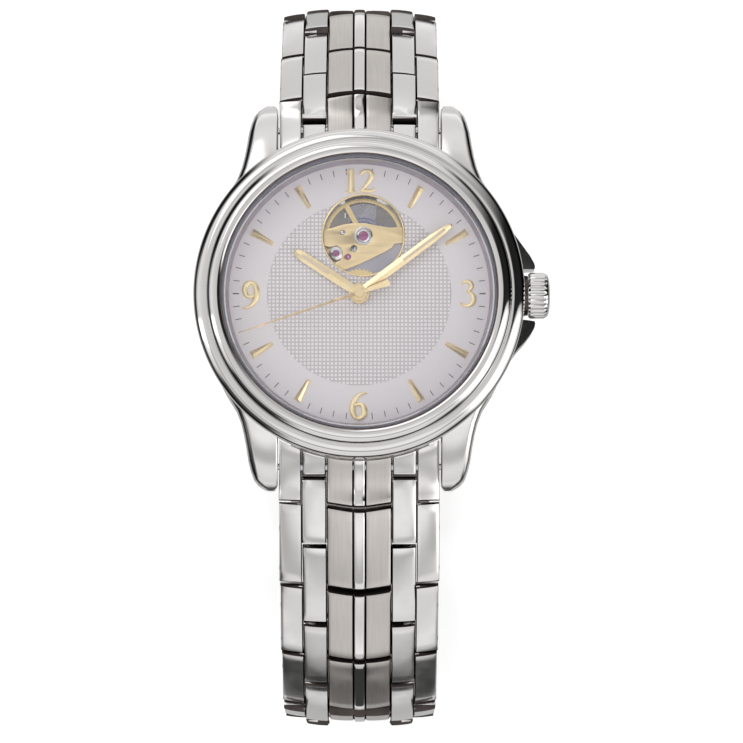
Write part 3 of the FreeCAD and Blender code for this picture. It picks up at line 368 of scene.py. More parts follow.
def prism(work, outline, z0, z1, slot=0):
    """A flat outline of (x, y) points between two heights."""
    low = [work.verts.new((x, y, z0)) for x, y in outline]
    high = [work.verts.new((x, y, z1)) for x, y in outline]
    faces = [work.faces.new(high), work.faces.new(low[::-1])]
    for i in range(len(outline)):
        j = (i + 1) % len(outline)
        faces.append(work.faces.new((low[i], low[j], high[j], high[i])))
    for face in faces:
        face.material_index = slot


def box_piece(work, x0, x1, y0, y1, z0, z1):
    prism(work, [(x0, y0), (x1, y0), (x1, y1), (x0, y1)], z0, z1)


def skin(work, rings):
    """Joins rings of vertices one to the next and closes both ends."""
    count = len(rings[0])
    for a, b in zip(rings, rings[1:]):
        for i in range(count):
            j = (i + 1) % count
            work.faces.new((a[i], a[j], b[j], b[i]))
    work.faces.new(rings[0][::-1])
    work.faces.new(rings[-1])


def absorb(work, part):
    """Adds a finished part to the piece that it belongs to."""
    mesh = bpy.data.meshes.new("part")
    part.to_mesh(mesh)
    part.free()
    work.from_mesh(mesh)
    bpy.data.meshes.remove(mesh)


def turn_part(part, degrees):
    """Turns a part about the dial's axis."""
    bmesh.ops.rotate(part, verts=part.verts, matrix=Matrix.Rotation(math.radians(degrees), 3, "Z"))


def creases(work, degrees):
    """The edges between two faces that meet at more than an angle."""
    limit = math.radians(degrees)
    return [edge for edge in work.edges if len(edge.link_faces) == 2 and edge.calc_face_angle(0) > limit]


def round_edges(work, size, steps=2, angle=50, shortest=0.0):
    """Bevels every edge sharper than the angle and longer than the shortest."""
    edges = [edge for edge in creases(work, angle) if edge.calc_length() > shortest]
    bmesh.ops.bevel(work, geom=edges, offset=size, segments=steps, profile=0.6, affect="EDGES",
                    clamp_overlap=True)


def plate(name, loops, z0, z1, bevel):
    """A mesh in metres of a plate with holes and rounded edges, from closed loops in millimetres."""
    curve = bpy.data.curves.new(name, "CURVE")
    curve.dimensions = "2D"
    curve.fill_mode = "BOTH"
    for loop in loops:
        spline = curve.splines.new("POLY")
        spline.points.add(len(loop) - 1)
        for point, (x, y) in zip(spline.points, loop):
            point.co = (x * MM, y * MM, 0, 1)
        spline.use_cyclic_u = True
    curve.extrude = ((z1 - z0) / 2 - bevel) * MM
    curve.bevel_depth = bevel * MM
    curve.bevel_resolution = 1
    curve.offset = -bevel * MM
    holder = bpy.data.objects.new(name + "_curve", curve)
    mesh = bpy.data.meshes.new_from_object(holder)
    bpy.data.objects.remove(holder)
    mesh.transform(Matrix.Translation((0, 0, (z0 + z1) / 2 * MM)))
    work = bmesh.new()
    work.from_mesh(mesh)
    bmesh.ops.remove_doubles(work, verts=work.verts, dist=1e-7)
    bmesh.ops.recalc_face_normals(work, faces=work.faces)
    work.to_mesh(mesh)
    work.free()
    return mesh


def circle(radius, at=(0, 0), steps=64):
    angles = [2 * math.pi * i / steps for i in range(steps)]
    return [(at[0] + radius * math.cos(a), at[1] + radius * math.sin(a)) for a in angles]


# ================================================================ case
LUG_INNER_X = 9.88
LUG_STATIONS = (8.0, 10.0, 12.0, 14.0, 15.5, 17.0, 18.5, 20.0, 21.2, 22.2, 22.9, 23.3, 23.5)
GUARD_Z = (1.9, 6.85)
GUARD_CREST_X = 19.0       # beyond this the guards slope down outwards
GUARD_SLOPE = 0.75
GUARD_TURN = 0.35          # and the upper one also slopes away from the crown
CROWN_SEAT_X = 19.6
CROWN_SEAT_R = 2.5
CROWN_FLUTES = 24
FLUTE_STEPS = 10
FLUTE_DEPTH = 0.17
BACK_GLASS_R = 14.0
BACK_KEY_SLOTS = 6


def make_bezel():
    """Two polished half-round rings, and the dark flange between the crystal and the dial."""
    work = bmesh.new()
    outer_ring = ellipse_arc((18.55, 7.75), 1.45, 1.2, 98, 0, 18)
    inner_ring = ellipse_arc((17.2, 9.25), 1.2, 1.17, 112, 0, 20)
    profile = [(16.1, CRYSTAL_SEAT), (16.52, CRYSTAL_SEAT), (16.52, 9.9), (16.6, 9.99)]
    profile += inner_ring + [(18.36, 8.9)] + outer_ring + [(19.95, CASE_JOINT), (15.95, CASE_JOINT)]
    lathe(work, profile, 256)
    put("bezel_rings", to_mesh(work, "bezel_rings"), "mirror", "head", ["bezel"], 30)
    work = bmesh.new()
    slope = [(15.72, CASE_JOINT), (15.74, CASE_JOINT + 0.25), (16.04, CRYSTAL_SEAT - 0.05)]
    lathe(work, slope + [(16.12, CRYSTAL_SEAT), (16.2, CRYSTAL_SEAT - 0.1), (15.9, CASE_JOINT)], 256)
    put("flange_ring", to_mesh(work, "flange_ring"), "flange", "head", sharp=25)


def make_crystal():
    """Flat crystal with a bevelled rim."""
    work = bmesh.new()
    rim = [(16.3, CRYSTAL_SEAT), (16.3, CRYSTAL_TOP - 0.35), (15.95, CRYSTAL_TOP)]
    lathe(work, [(0, CRYSTAL_SEAT)] + rim + [(0, CRYSTAL_TOP)], 192, closed=False)
    put("front_crystal", to_mesh(work, "front_crystal"), "crystal", "head", ["crystal"], 25)


def lug_outer(y):
    """Half-width of the lug's plan at a distance y from the case centre."""
    flank = [(8.0, 17.6), (10.9, 16.75), (13.0, 15.45), (14.7, 14.55), (17.6, 13.8), (20.2, 13.4)]
    return smooth_value(flank + [(22.3, 12.75), (23.0, 12.1), (LUG_TIP_Y, 11.1)], y)


def smooth_value(points, x):
    """Catmull-Rom interpolation through (x, value) points."""
    if x <= points[0][0]:
        return points[0][1]
    if x >= points[-1][0]:
        return points[-1][1]
    for i in range(len(points) - 1):
        if points[i][0] <= x <= points[i + 1][0]:
            break
    x1, y1 = points[i]
    x2, y2 = points[i + 1]
    x0, y0 = points[max(i - 1, 0)]
    x3, y3 = points[min(i + 2, len(points) - 1)]
    span = x2 - x1
    m1 = (y2 - y0) / (x2 - x0) * span
    m2 = (y3 - y1) / (x3 - x1) * span
    t = (x - x1) / span
    return ((2 * t**3 - 3 * t**2 + 1) * y1 + (t**3 - 2 * t**2 + t) * m1 + (-2 * t**3 + 3 * t**2) * y2
            + (t**3 - t**2) * m2)


def lug_top(y):
    """Height of a lug's crest at a distance from the dial's axis."""
    crest = [(8.0, 6.95), (12.0, 6.7), (15.0, 6.2), (18.6, 5.2), (21.0, 4.1), (22.8, 2.95), (23.6, 1.9)]
    return smooth_value(crest, y)


def lug_foot(y):
    return smooth_value([(8.0, 1.5), (15.0, 1.3), (20.0, 0.75), (22.4, 0.45), (23.6, 0.95)], y)


def make_case():
    """Case band with four lugs that flow out of it, two crown guards and the crown tube."""
    work = bmesh.new()
    band = [(15.75, 1.2), (18.2, 1.2)] + ellipse_arc((16.0, 6.0), 3.95, 4.8, -55, 0, 14)
    band += [(19.95, CASE_JOINT - 0.12), (19.85, CASE_JOINT), (16.3, CASE_JOINT), (16.3, 5.4), (15.75, 5.4)]
    lathe(work, band, 224)
    for side_x in (-1, 1):
        for side_y in (-1, 1):
            add_lug(work, side_x, side_y)
    for side_y in (-1, 1):
        add_crown_guard(work, side_y)
    tube = bmesh.ops.create_cone(work, cap_ends=True, segments=48, radius1=1.3, radius2=1.3, depth=2.0)
    place = Matrix.Translation((20.0, 0, CROWN_Z)) @ Matrix.Rotation(math.pi / 2, 4, "Y")
    bmesh.ops.transform(work, matrix=place, verts=tube["verts"])
    put("case_body", to_mesh(work, "case_body"), "case_satin", "head", ["case_middle"], 32)


def add_lug(work, side_x, side_y):
    """Rounded sections lofted along Y from under the bezel to the tip."""
    rings = []
    for y in LUG_STATIONS:
        x0, x1 = LUG_INNER_X, lug_outer(y)
        z0, z1 = lug_foot(y), lug_top(y)
        tip = max(0.0, (y - 22.6) / 0.9)
        x0 += 0.45 * tip**2
        round_x = min(0.9, (x1 - x0) * 0.42)
        round_z = min(1.3, (z1 - z0) * 0.42)
        section = []
        for cx, cz, rx, rz, start in ((x1 - round_x, z1 - round_z, round_x, round_z, 0),
                                      (x0 + 0.25, z1 - 0.25, 0.25, 0.25, 90),
                                      (x0 + 0.25, z0 + 0.25, 0.25, 0.25, 180),
                                      (x1 - 0.5, z0 + 0.5, 0.5, 0.5, 270)):
            for step in range(5):
                angle = math.radians(start + 22.5 * step)
                section.append((cx + rx * math.cos(angle), cz + rz * math.sin(angle)))
        rings.append([work.verts.new((side_x * x, side_y * y, z)) for x, z in section])
    skin(work, rings)


def add_crown_guard(work, side_y):
    """A shoulder that rises to a point beside the crown."""
    outline = [(17.0, 8.6), (18.35, 7.75), (19.1, 6.75), (20.0, 5.75), (20.7, 4.8), (21.2, 3.9)]
    outline += [(21.3, 3.45), (21.2, 3.15), (20.1, 3.08), (17.0, 3.08)]
    outline = [(x, side_y * y) for x, y in outline]
    if side_y < 0:
        outline.reverse()
    guard = bmesh.new()
    prism(guard, outline, *GUARD_Z)
    for vert in guard.verts:
        if vert.co.z > GUARD_Z[0] + 1 and vert.co.x > GUARD_CREST_X:
            vert.co.z -= GUARD_SLOPE * (vert.co.x - GUARD_CREST_X)
            vert.co.z -= GUARD_TURN * max(0.0, side_y) * (vert.co.y - 3)
    round_edges(guard, 0.35, 3, 40)
    absorb(work, guard)


def make_case_back():
    """Screwed ring round the back glass, with slots for its key."""
    work = bmesh.new()
    profile = [(BACK_GLASS_R, 0.0), (BACK_GLASS_R + 0.15, 0.0), (17.0, 0.0), (17.3, 0.1), (17.8, 0.55)]
    profile += [(17.8, 1.2), (13.4, 1.2), (13.4, 0.9), (BACK_GLASS_R, 0.9)]
    lathe(work, profile, 192)
    put("back_ring", to_mesh(work, "back_ring"), "satin", "head", ["case_back"], 25)
    work = bmesh.new()
    for notch in range(BACK_KEY_SLOTS):
        slot = bmesh.new()
        box_piece(slot, 16.5, 17.6, -0.8, 0.8, -0.02, 0.3)
        round_edges(slot, 0.08)
        turn_part(slot, 30 + 360 / BACK_KEY_SLOTS * notch)
        absorb(work, slot)
    put("back_key_slots", to_mesh(work, "back_key_slots"), "inner_steel", "head")


def make_crown():
    """Rounded flutes between two bevels, and a gently domed end."""
    low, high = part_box("crown")
    x0, x1 = low.x / MM, high.x / MM
    radius = (high.z - low.z) / MM / 2
    steps = CROWN_FLUTES * FLUTE_STEPS
    # place along the axis, share of the radius, share of the flutes' depth
    sections = [(x0, 0.80, 0.0), (x0, 0.93, 0.3), (x0 + 0.12, 0.965, 0.8), (x0 + 0.25, 1.0, 1.0)]
    sections += [(x0 + 1.0, 1.0, 1.0), (x1 - 0.85, 1.0, 1.0), (x1 - 0.62, 0.97, 0.8), (x1 - 0.5, 0.93, 0.15)]
    rim = ((0.42, 0.92), (0.25, 0.86), (0.1, 0.66), (0.02, 0.35))
    sections += [(x1 - inset, share, 0.0) for inset, share in rim]
    work = bmesh.new()
    rings = []
    for x, share, flute in sections:
        ring = []
        for i in range(steps):
            angle = 2 * math.pi * i / steps
            dip = FLUTE_DEPTH * flute * (1 - abs(math.sin(CROWN_FLUTES * angle / 2)) ** 0.7)
            r = radius * share - dip
            ring.append(work.verts.new((x, r * math.cos(angle), CROWN_Z + r * math.sin(angle))))
        rings.append(ring)
    skin(work, rings)
    put("crown_knob", to_mesh(work, "crown_knob"), "mirror", "crown_body", ["crown"], 32)


def make_crown_seat():
    """The collar of the case behind the crown, in near-black steel: painted shade behind the crown."""
    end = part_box("crown")[0].x / MM - 0.06
    work = bmesh.new()
    place = Matrix.Translation(((CROWN_SEAT_X + end) / 2, 0, CROWN_Z)) @ Matrix.Rotation(math.pi / 2, 4, "Y")
    bmesh.ops.create_cone(work, cap_ends=True, segments=64, radius1=CROWN_SEAT_R, radius2=CROWN_SEAT_R - 0.1,
                          depth=end - CROWN_SEAT_X, matrix=place)
    cap = [face for face in work.faces if len(face.verts) > 4]
    bmesh.ops.inset_region(work, faces=cap, thickness=1.4, depth=0)
    bmesh.ops.delete(work, geom=cap, context="FACES")
    put("crown_seat", to_mesh(work, "crown_seat"), "flank", "head", sharp=30)


# ================================================================ dial
DIAL_R = 16.2
HEART_R = 5.0
GUILLOCHE_R = 11.1
GUILLOCHE_PITCH = 0.47
GUILLOCHE_DEPTH = 0.07
GUILLOCHE_GROOVE = 0.09
DIAL_FOOT = 6.6
HAND_HOLE_R = 1.1
TRACK_R = (14.5, 15.25)
BATON_HOURS = (1, 2, 4, 5, 7, 8, 10, 11)
BATON_R = (12.0, 15.0)
BATON_HALF = (0.25, 0.5)
BATON_SLOPE = 0.2
BOLD = 1.12                # the figures' strokes against their drawn widths


def drop_boolean(obj, cutter, operation):
    """Applies one boolean and removes the cutter."""
    modifier = obj.modifiers.new("cut", "BOOLEAN")
    modifier.object = cutter
    modifier.operation = operation
    modifier.solver = "EXACT"
    bpy.context.view_layer.update()
    depsgraph = bpy.context.evaluated_depsgraph_get()
    mesh = bpy.data.meshes.new_from_object(obj.evaluated_get(depsgraph))
    obj.modifiers.clear()
    obj.data = mesh
    bpy.data.objects.remove(cutter)


def loose(name, work):
    """A helper object that rides on nothing and is removed again."""
    obj = bpy.data.objects.new(name, to_mesh(work, name))
    bpy.context.scene.collection.objects.link(obj)
    return obj


def cylinder_cutter(radius, z0, z1, at=(0, 0)):
    work = bmesh.new()
    prism(work, circle(radius, at, 128), z0, z1)
    return loose("cutter", work)


def heart_cutter():
    return cylinder_cutter(HEART_R - 0.02, 5, 9, HEART_AT)


def make_dial_ring():
    """The smooth hour ring, cut by the open heart."""
    work = bmesh.new()
    profile = [(GUILLOCHE_R, DIAL_FOOT), (DIAL_R, DIAL_FOOT), (DIAL_R, DIAL_TOP), (GUILLOCHE_R, DIAL_TOP)]
    lathe(work, profile, 192)
    rim = loose("dial_rim", work)
    drop_boolean(rim, heart_cutter(), "DIFFERENCE")
    mesh = rim.data
    bpy.data.objects.remove(rim)
    put("dial_ring", mesh, "dial", "head", ["dial"], 30)


def engine_turned():
    """A slab whose top is a grid of small flat-topped pyramids; the slopes are material slot 1, which takes
    the darkened dial silver as painted shade.
    """
    work = bmesh.new()
    cells = int(2 * GUILLOCHE_R / GUILLOCHE_PITCH) + 2
    start = -cells * GUILLOCHE_PITCH / 2
    floor = DIAL_TOP - GUILLOCHE_DEPTH - 0.01
    corner = [[work.verts.new((start + i * GUILLOCHE_PITCH, start + j * GUILLOCHE_PITCH, floor))
               for j in range(cells + 1)] for i in range(cells + 1)]
    near, far = GUILLOCHE_GROOVE, GUILLOCHE_PITCH - GUILLOCHE_GROOVE
    for i in range(cells):
        for j in range(cells):
            low_x, low_y = start + i * GUILLOCHE_PITCH, start + j * GUILLOCHE_PITCH
            crown = [work.verts.new((low_x + u, low_y + v, floor + GUILLOCHE_DEPTH))
                     for u, v in ((near, near), (far, near), (far, far), (near, far))]
            work.faces.new(crown)
            square = [corner[i][j], corner[i + 1][j], corner[i + 1][j + 1], corner[i][j + 1]]
            for k in range(4):
                face = work.faces.new((square[k], square[(k + 1) % 4], crown[(k + 1) % 4], crown[k]))
                face.material_index = 1
    end = -start
    square = ((start, start), (end, start), (end, end), (start, end))
    base = [work.verts.new((x, y, DIAL_FOOT + 0.02)) for x, y in square]
    work.faces.new(base[::-1])
    along = range(cells + 1)
    sides = [[corner[i][0] for i in along], [corner[cells][j] for j in along]]
    sides += [[corner[cells - i][cells] for i in along], [corner[0][cells - j] for j in along]]
    for k, side in enumerate(sides):
        work.faces.new([base[k], base[(k + 1) % 4]] + side[::-1])
    return work


def make_dial_centre():
    """The engine-turned disc, with the open heart and the hole for the hands."""
    centre = loose("dial_centre", engine_turned())
    drop_boolean(centre, cylinder_cutter(GUILLOCHE_R - 0.01, 6, 8), "INTERSECT")
    drop_boolean(centre, heart_cutter(), "DIFFERENCE")
    drop_boolean(centre, cylinder_cutter(HAND_HOLE_R, 5, 9), "DIFFERENCE")
    mesh = centre.data
    bpy.data.objects.remove(centre)
    # The tops take the brightened silver as a painted highlight, the slopes the darkened silver as painted
    # shade
    put("dial_centre", mesh, ["guilloche_painted_light", "groove"], "head", sharp=5)


def make_heart_ring():
    """The thin gold rim of the open heart."""
    work = bmesh.new()
    edge = [(HEART_R - 0.17, DIAL_TOP - 0.35), (HEART_R, DIAL_TOP - 0.35), (HEART_R + 0.06, DIAL_TOP)]
    edge += ellipse_arc((HEART_R - 0.055, DIAL_TOP), 0.115, 0.12, 20, 180, 8)
    lathe(work, edge, 128, HEART_AT)
    put("heart_ring", to_mesh(work, "heart_ring"), "gold", "head", ["aperture_ring"], 40)


def make_minute_track():
    """Printed ticks round the dial; applied markers take the hours' places."""
    work = bmesh.new()
    for tick in range(60):
        if tick % 5 == 0 and tick not in (15, 45):
            continue
        half = 0.085 if tick in (15, 45) else 0.05
        part = bmesh.new()
        box_piece(part, -half, half, *TRACK_R, DIAL_TOP, DIAL_TOP + 0.02)
        turn_part(part, -6 * tick)
        absorb(work, part)
    put("minute_track", to_mesh(work, "minute_track"), "ink", "head")


def ribbon(work, line, z0, z1):
    """A pen stroke: (x, y, half width) points joined smoothly, domed across its width."""
    steps = 10
    line = [(x, y, half * BOLD) for x, y, half in line]
    tracks = [[(k, point[axis]) for k, point in enumerate(line)] for axis in range(3)]
    samples = []
    for i in range(len(line) - 1):
        for step in range(steps + (i == len(line) - 2)):
            samples.append([smooth_value(track, i + step / steps) for track in tracks])
    rings = []
    for i, (x, y, half) in enumerate(samples):
        ahead, behind = samples[min(i + 1, len(samples) - 1)], samples[max(i - 1, 0)]
        direction = Vector((ahead[0] - behind[0], ahead[1] - behind[1])).normalized()
        across = Vector((-direction.y, direction.x))
        crest = z0 + (z1 - z0) * min(1.0, 0.55 + half)
        section = [(-1, z0), (-1, z0 + 0.12), (-0.7, crest - 0.04), (0, crest)]
        section += [(0.7, crest - 0.04), (1, z0 + 0.12), (1, z0)]
        ring = []
        for share, z in section:
            ring.append(work.verts.new((x + across.x * half * share, y + across.y * half * share, z)))
        rings.append(ring)
    skin(work, rings)


# pen strokes of the figures, as (x, y, half width) in millimetres from the figure's centre
FIGURES = {
    "1": [
        [(0.0, 1.38, 0.30), (0.0, 0.0, 0.32), (0.0, -1.35, 0.32)],
        [(-0.62, 1.05, 0.06), (-0.3, 1.2, 0.14), (0.05, 1.3, 0.2)],
        [(-0.68, -1.33, 0.07), (0.0, -1.3, 0.13), (0.62, -1.33, 0.07)],
    ],
    "2": [
        [(-0.84, 0.72, 0.1), (-0.6, 1.08, 0.15), (-0.1, 1.26, 0.16), (0.42, 1.05, 0.25), (0.52, 0.6, 0.27),
         (0.2, -0.05, 0.22), (-0.3, -0.7, 0.17), (-0.78, -1.22, 0.1)],
        [(-0.85, -1.24, 0.1), (-0.3, -1.2, 0.17), (0.4, -1.22, 0.16), (0.72, -1.1, 0.12), (0.86, -0.8, 0.05)],
    ],
    "3": [
        [(-0.78, 1.2, 0.08), (-0.4, 1.46, 0.14), (0.15, 1.36, 0.24), (0.42, 0.92, 0.25), (0.12, 0.4, 0.13),
         (-0.28, 0.18, 0.07)],
        [(-0.2, 0.22, 0.08), (0.3, 0.1, 0.16), (0.66, -0.45, 0.27), (0.5, -1.1, 0.26), (0.0, -1.48, 0.19),
         (-0.6, -1.42, 0.13), (-0.98, -1.1, 0.06)],
    ],
    "6": [
        [(0.98, 1.66, 0.07), (0.45, 1.6, 0.13), (-0.05, 1.36, 0.18), (-0.5, 0.82, 0.25), (-0.72, 0.2, 0.31),
         (-0.72, -0.55, 0.34), (-0.48, -1.18, 0.28), (0.0, -1.42, 0.22), (0.48, -1.18, 0.28),
         (0.69, -0.58, 0.34), (0.5, 0.08, 0.28), (0.05, 0.3, 0.2), (-0.35, 0.18, 0.13), (-0.6, -0.1, 0.06)],
    ],
}
FIGURES["9"] = [[(-x, -y, half) for x, y, half in stroke] for stroke in FIGURES["6"]]


MARKER_TOP = top_of("hour_markers")
FIGURE_PLACES = {
    "1": (-0.95, 13.68), "2": (0.98, 13.68), "3": (13.15, 0.0), "6": (-0.05, -13.7), "9": (-13.1, -0.1),
}


def baton(hour):
    """A ridged baton, wider towards the rim."""
    part = bmesh.new()
    (inner_r, outer_r), (half_in, half_out) = BATON_R, BATON_HALF
    plan = ((-half_in, inner_r), (half_in, inner_r), (half_out, outer_r), (-half_out, outer_r))
    foot = [part.verts.new((x, y, DIAL_TOP)) for x, y in plan]
    ridge = [part.verts.new((0, y, MARKER_TOP)) for y in (inner_r + BATON_SLOPE, outer_r - BATON_SLOPE)]
    for corners in (foot[::-1], [foot[0], foot[1], ridge[0]], [foot[2], foot[3], ridge[1]],
                    [foot[1], foot[2], ridge[1], ridge[0]], [foot[3], foot[0], ridge[0], ridge[1]]):
        part.faces.new(corners)
    bmesh.ops.bevel(part, geom=list(part.edges), offset=0.025, segments=1, affect="EDGES")
    turn_part(part, -30 * hour)
    return part


def make_markers():
    """Eight faceted batons and the figures 12, 3, 6 and 9."""
    work = bmesh.new()
    for hour in BATON_HOURS:
        absorb(work, baton(hour))
    put("batons", to_mesh(work, "batons"), "gold", "head", ["hour_markers"], 20)
    for figure, (cx, cy) in FIGURE_PLACES.items():
        work = bmesh.new()
        for stroke in FIGURES[figure]:
            ribbon(work, [(cx + x, cy + y, half) for x, y, half in stroke], DIAL_TOP - 0.02, MARKER_TOP)
        put("numeral_" + figure, to_mesh(work, "numeral", doubles=False), "figure", "head", sharp=50)


# ================================================================ hands
def make_hand(name, node, body, points, hub_r, hub_top, slot=None):
    """A ridged blade on a collet, with an optional inlay along its crest."""
    angle = -math.atan2(*tip_direction(node))
    z0 = foot_of(node)
    shoulder, crest = z0 + 0.08, top_of(node) + 0.05
    work = bmesh.new()
    rings = []
    for distance, half in points:
        section = ((-half, z0), (-half, shoulder), (0, crest), (half, shoulder), (half, z0))
        rings.append([work.verts.new((x, distance, z)) for x, z in section])
    skin(work, rings)
    if slot:
        near, far, half = slot
        groove = [(-half, near), (half, near), (half, far), (-half, far)]
        prism(work, groove, crest - 0.02, crest + 0.012, 1)
    collet = [(0, z0 - 0.12), (hub_r, z0 - 0.12), (hub_r, z0 + 0.1), (hub_r - 0.08, hub_top), (0, hub_top)]
    lathe(work, collet, 64, closed=False)
    turn_part(work, math.degrees(angle))
    put(name, to_mesh(work, name), ["gold", "hand_slot"], body, [node], 22)


def tip_direction(node):
    """Where the hand's tip lies, as (x, y): its vertex furthest from the axis."""
    best = max((v.co for v in frame["nodes"][node].data.vertices), key=lambda co: co.x**2 + co.y**2)
    return best.x, best.y


def make_hands():
    """Points are (distance, half width); the inlays are (near, far, half width)."""
    hour = [(-1.0, 0.45), (0.0, 0.54), (3.0, 0.6), (7.8, 0.6), (8.8, 0.5), (9.18, 0.34), (9.29, 0.1)]
    make_hand("hour_baton_hand", "hour_hand", "hour_body", hour, 1.25, 7.55, (4.4, 8.3, 0.2))
    minute = [(-0.9, 0.42), (0.0, 0.48), (5.0, 0.54), (11.0, 0.52), (12.8, 0.4), (13.7, 0.24), (13.93, 0.07)]
    make_hand("minute_baton_hand", "minute_hand", "minute_body", minute, 1.0, 8.08, (6.6, 12.9, 0.17))
    seconds = [(-3.84, 0.34), (-3.76, 0.4), (-0.6, 0.2), (0.0, 0.16), (9.0, 0.12), (15.1, 0.05)]
    make_hand("seconds_needle", "seconds_hand", "seconds_body", seconds, 0.62, 8.72)


# ================================================================ bracelet
HALF_T = 1.4               # half the thickness of a link
PITCH = 5.0                # between the pins of a link
LINK_GAP = 0.22
TAPER = 0.0055             # width lost per link
DOME_R = 50.0              # crown across the bracelet
BOW = 1.0                  # how far a row's ends curve towards the case
BOW_X = 4.0
SHOULDER = 0.07            # slope of a piece's upper edges
ARCH = 0.17                # fall of a piece's top towards its ends
PILLOW = 0.05              # and towards its sides
FLANK_OUT = 0.03
END_INSET = 0.06
END_BULGE = 0.095
END_LIP = 0.55
TOP_STEPS = 8
END_UNDERCUT = 0.5
EDGE_ROUND = 0.14
CENTRE_PROUD = 0.12
COLUMN_GAP = 0.03
PIN_HEAD_R = 0.5
CASE_CLEAR_R = 20.02       # where the end links begin, just outside the case band
NOSE_TOP = -0.75           # where the flat top of the first link's rounded nose begins
REACH = PITCH / 2 - LINK_GAP / 2 - END_INSET
# The fourth look is the near-black steel that paints shade onto the sides in the gaps; its slot follows
LINK_LOOKS = ["satin", "mirror", "brushed", "flank"]
CENTRE_HALF = 0.75
PAINTED_SHADE_SLOT = 3
BRUSHED_OUT = 3.93
MIDDLE_IN, MIDDLE_OUT = 4.05, 6.93
OUTER_IN, OUTER_OUT = 7.05, 9.75
COLUMNS = {
    "centre": [(-CENTRE_HALF, CENTRE_HALF, 1)],
    "brushed": [(CENTRE_HALF, BRUSHED_OUT, 2), (-BRUSHED_OUT, -CENTRE_HALF, 2)],
    "outer": [(OUTER_IN, OUTER_OUT, 0), (-OUTER_OUT, -OUTER_IN, 0)],
    "middle": [(MIDDLE_IN, MIDDLE_OUT, 0), (-MIDDLE_OUT, -MIDDLE_IN, 0)],
}


def bow_at(x):
    """How much nearer to the case a row's edge lies at a distance x from the bracelet's middle."""
    return -BOW * (1 - 1 / (1 + (x / BOW_X) ** 2))


def link_piece(work, x0, x1, slot, outline, proud=0.0):
    """One piece of a link. outline(x) gives its (s, n) section, s along the bracelet and n outwards."""
    part = bmesh.new()
    across = 6
    rings = []
    for i in range(across + 1):
        x = x0 + (x1 - x0) * i / across
        pillow = PILLOW * (1 - (2 * i / across - 1) ** 2)
        ring = []
        for s, n, is_top in outline(x):
            edge = {0: 1, across: -1}.get(i, 0) * (SHOULDER if is_top else -FLANK_OUT)
            ring.append(part.verts.new((x + edge, s, n + (pillow + proud if is_top else 0))))
        rings.append(ring)
    skin(part, rings)
    bmesh.ops.recalc_face_normals(part, faces=part.faces)
    round_edges(part, EDGE_ROUND, 2, 35)
    # Sides facing into the gaps between columns take the near-black look, painted shade; the bracelet's outer
    # edges keep their steel
    for face in part.faces:
        middle = face.calc_center_median()
        outside = abs(middle.x) > OUTER_IN + 0.6 and abs(face.normal.x) > 0.7
        in_painted_shade = abs(face.normal.z) < 0.35 and not outside
        face.material_index = PAINTED_SHADE_SLOT if in_painted_shade else slot
    absorb(work, part)


def link_outline(low, high, round_low=False, flat_x=None):
    """Section of a link piece, with an arched top and undercut ends that bow towards the case."""
    def outline(x):
        sag = x * x / (2 * DOME_R)
        bow = bow_at(flat_x if flat_x is not None else x)
        top = HALF_T - sag
        lip = top - END_LIP
        points = []
        for i in range(TOP_STEPS + 1):
            share = i / TOP_STEPS
            s = low + (high - low) * share
            points.append((s + bow, top - ARCH * (2 * share - 1) ** 2, True))
        end = high + END_BULGE
        rest = [(high + bow, lip), (end + bow, 0.3), (end + bow, -0.15), (high - END_UNDERCUT + bow, -HALF_T)]
        if round_low:
            rest += [(0.0, -HALF_T), (-0.75, -1.18), (-1.2, -0.7), (-1.38, 0.0), (-1.3, 0.5), (-1.06, 0.92)]
        else:
            start = low - END_BULGE
            rest += [(low + END_UNDERCUT + bow, -HALF_T), (start + bow, -0.15)]
            rest += [(start + bow, 0.3), (low + bow, lip)]
        return points + [(s, n, False) for s, n in rest]
    return outline


def pin_head(work, x, s, n, side):
    """The round end of a pin on the bracelet's flank."""
    radius = PIN_HEAD_R
    part = bmesh.new()
    lathe(part, [(0, 0), (radius, 0), (radius, 0.12), (radius - 0.08, 0.18), (0, 0.18)], 24, closed=False)
    for face in part.faces:
        face.material_index = 1
    turn = Matrix.Rotation(side * math.pi / 2, 4, "Y")
    bmesh.ops.transform(part, matrix=Matrix.Translation((x, s, n)) @ turn, verts=part.verts)
    absorb(work, part)


def chain(side):
    """Places and slopes of one half's links, read from the hinges."""
    links, slope, index = [], 0.0, 1
    while "link_%s_%02d_hinge" % (side, index) in JOINTS:
        joint = JOINTS["link_%s_%02d_hinge" % (side, index)]
        slope += joint["range_deg"][1]
        links.append((index, Vector(joint["pos_m"]) / MM, slope))
        index += 1
    return links


def link_place(side, pin, slope):
    """From a link laid along +Y to its place; the 6 o'clock half is mirrored."""
    turn = Matrix.Rotation(-math.radians(slope), 4, "X")
    move = Matrix.Translation((0, abs(pin.y), pin.z))
    place = move @ turn
    if side == "6":
        place = Matrix.Diagonal((1, -1, 1, 1)) @ place
    return place


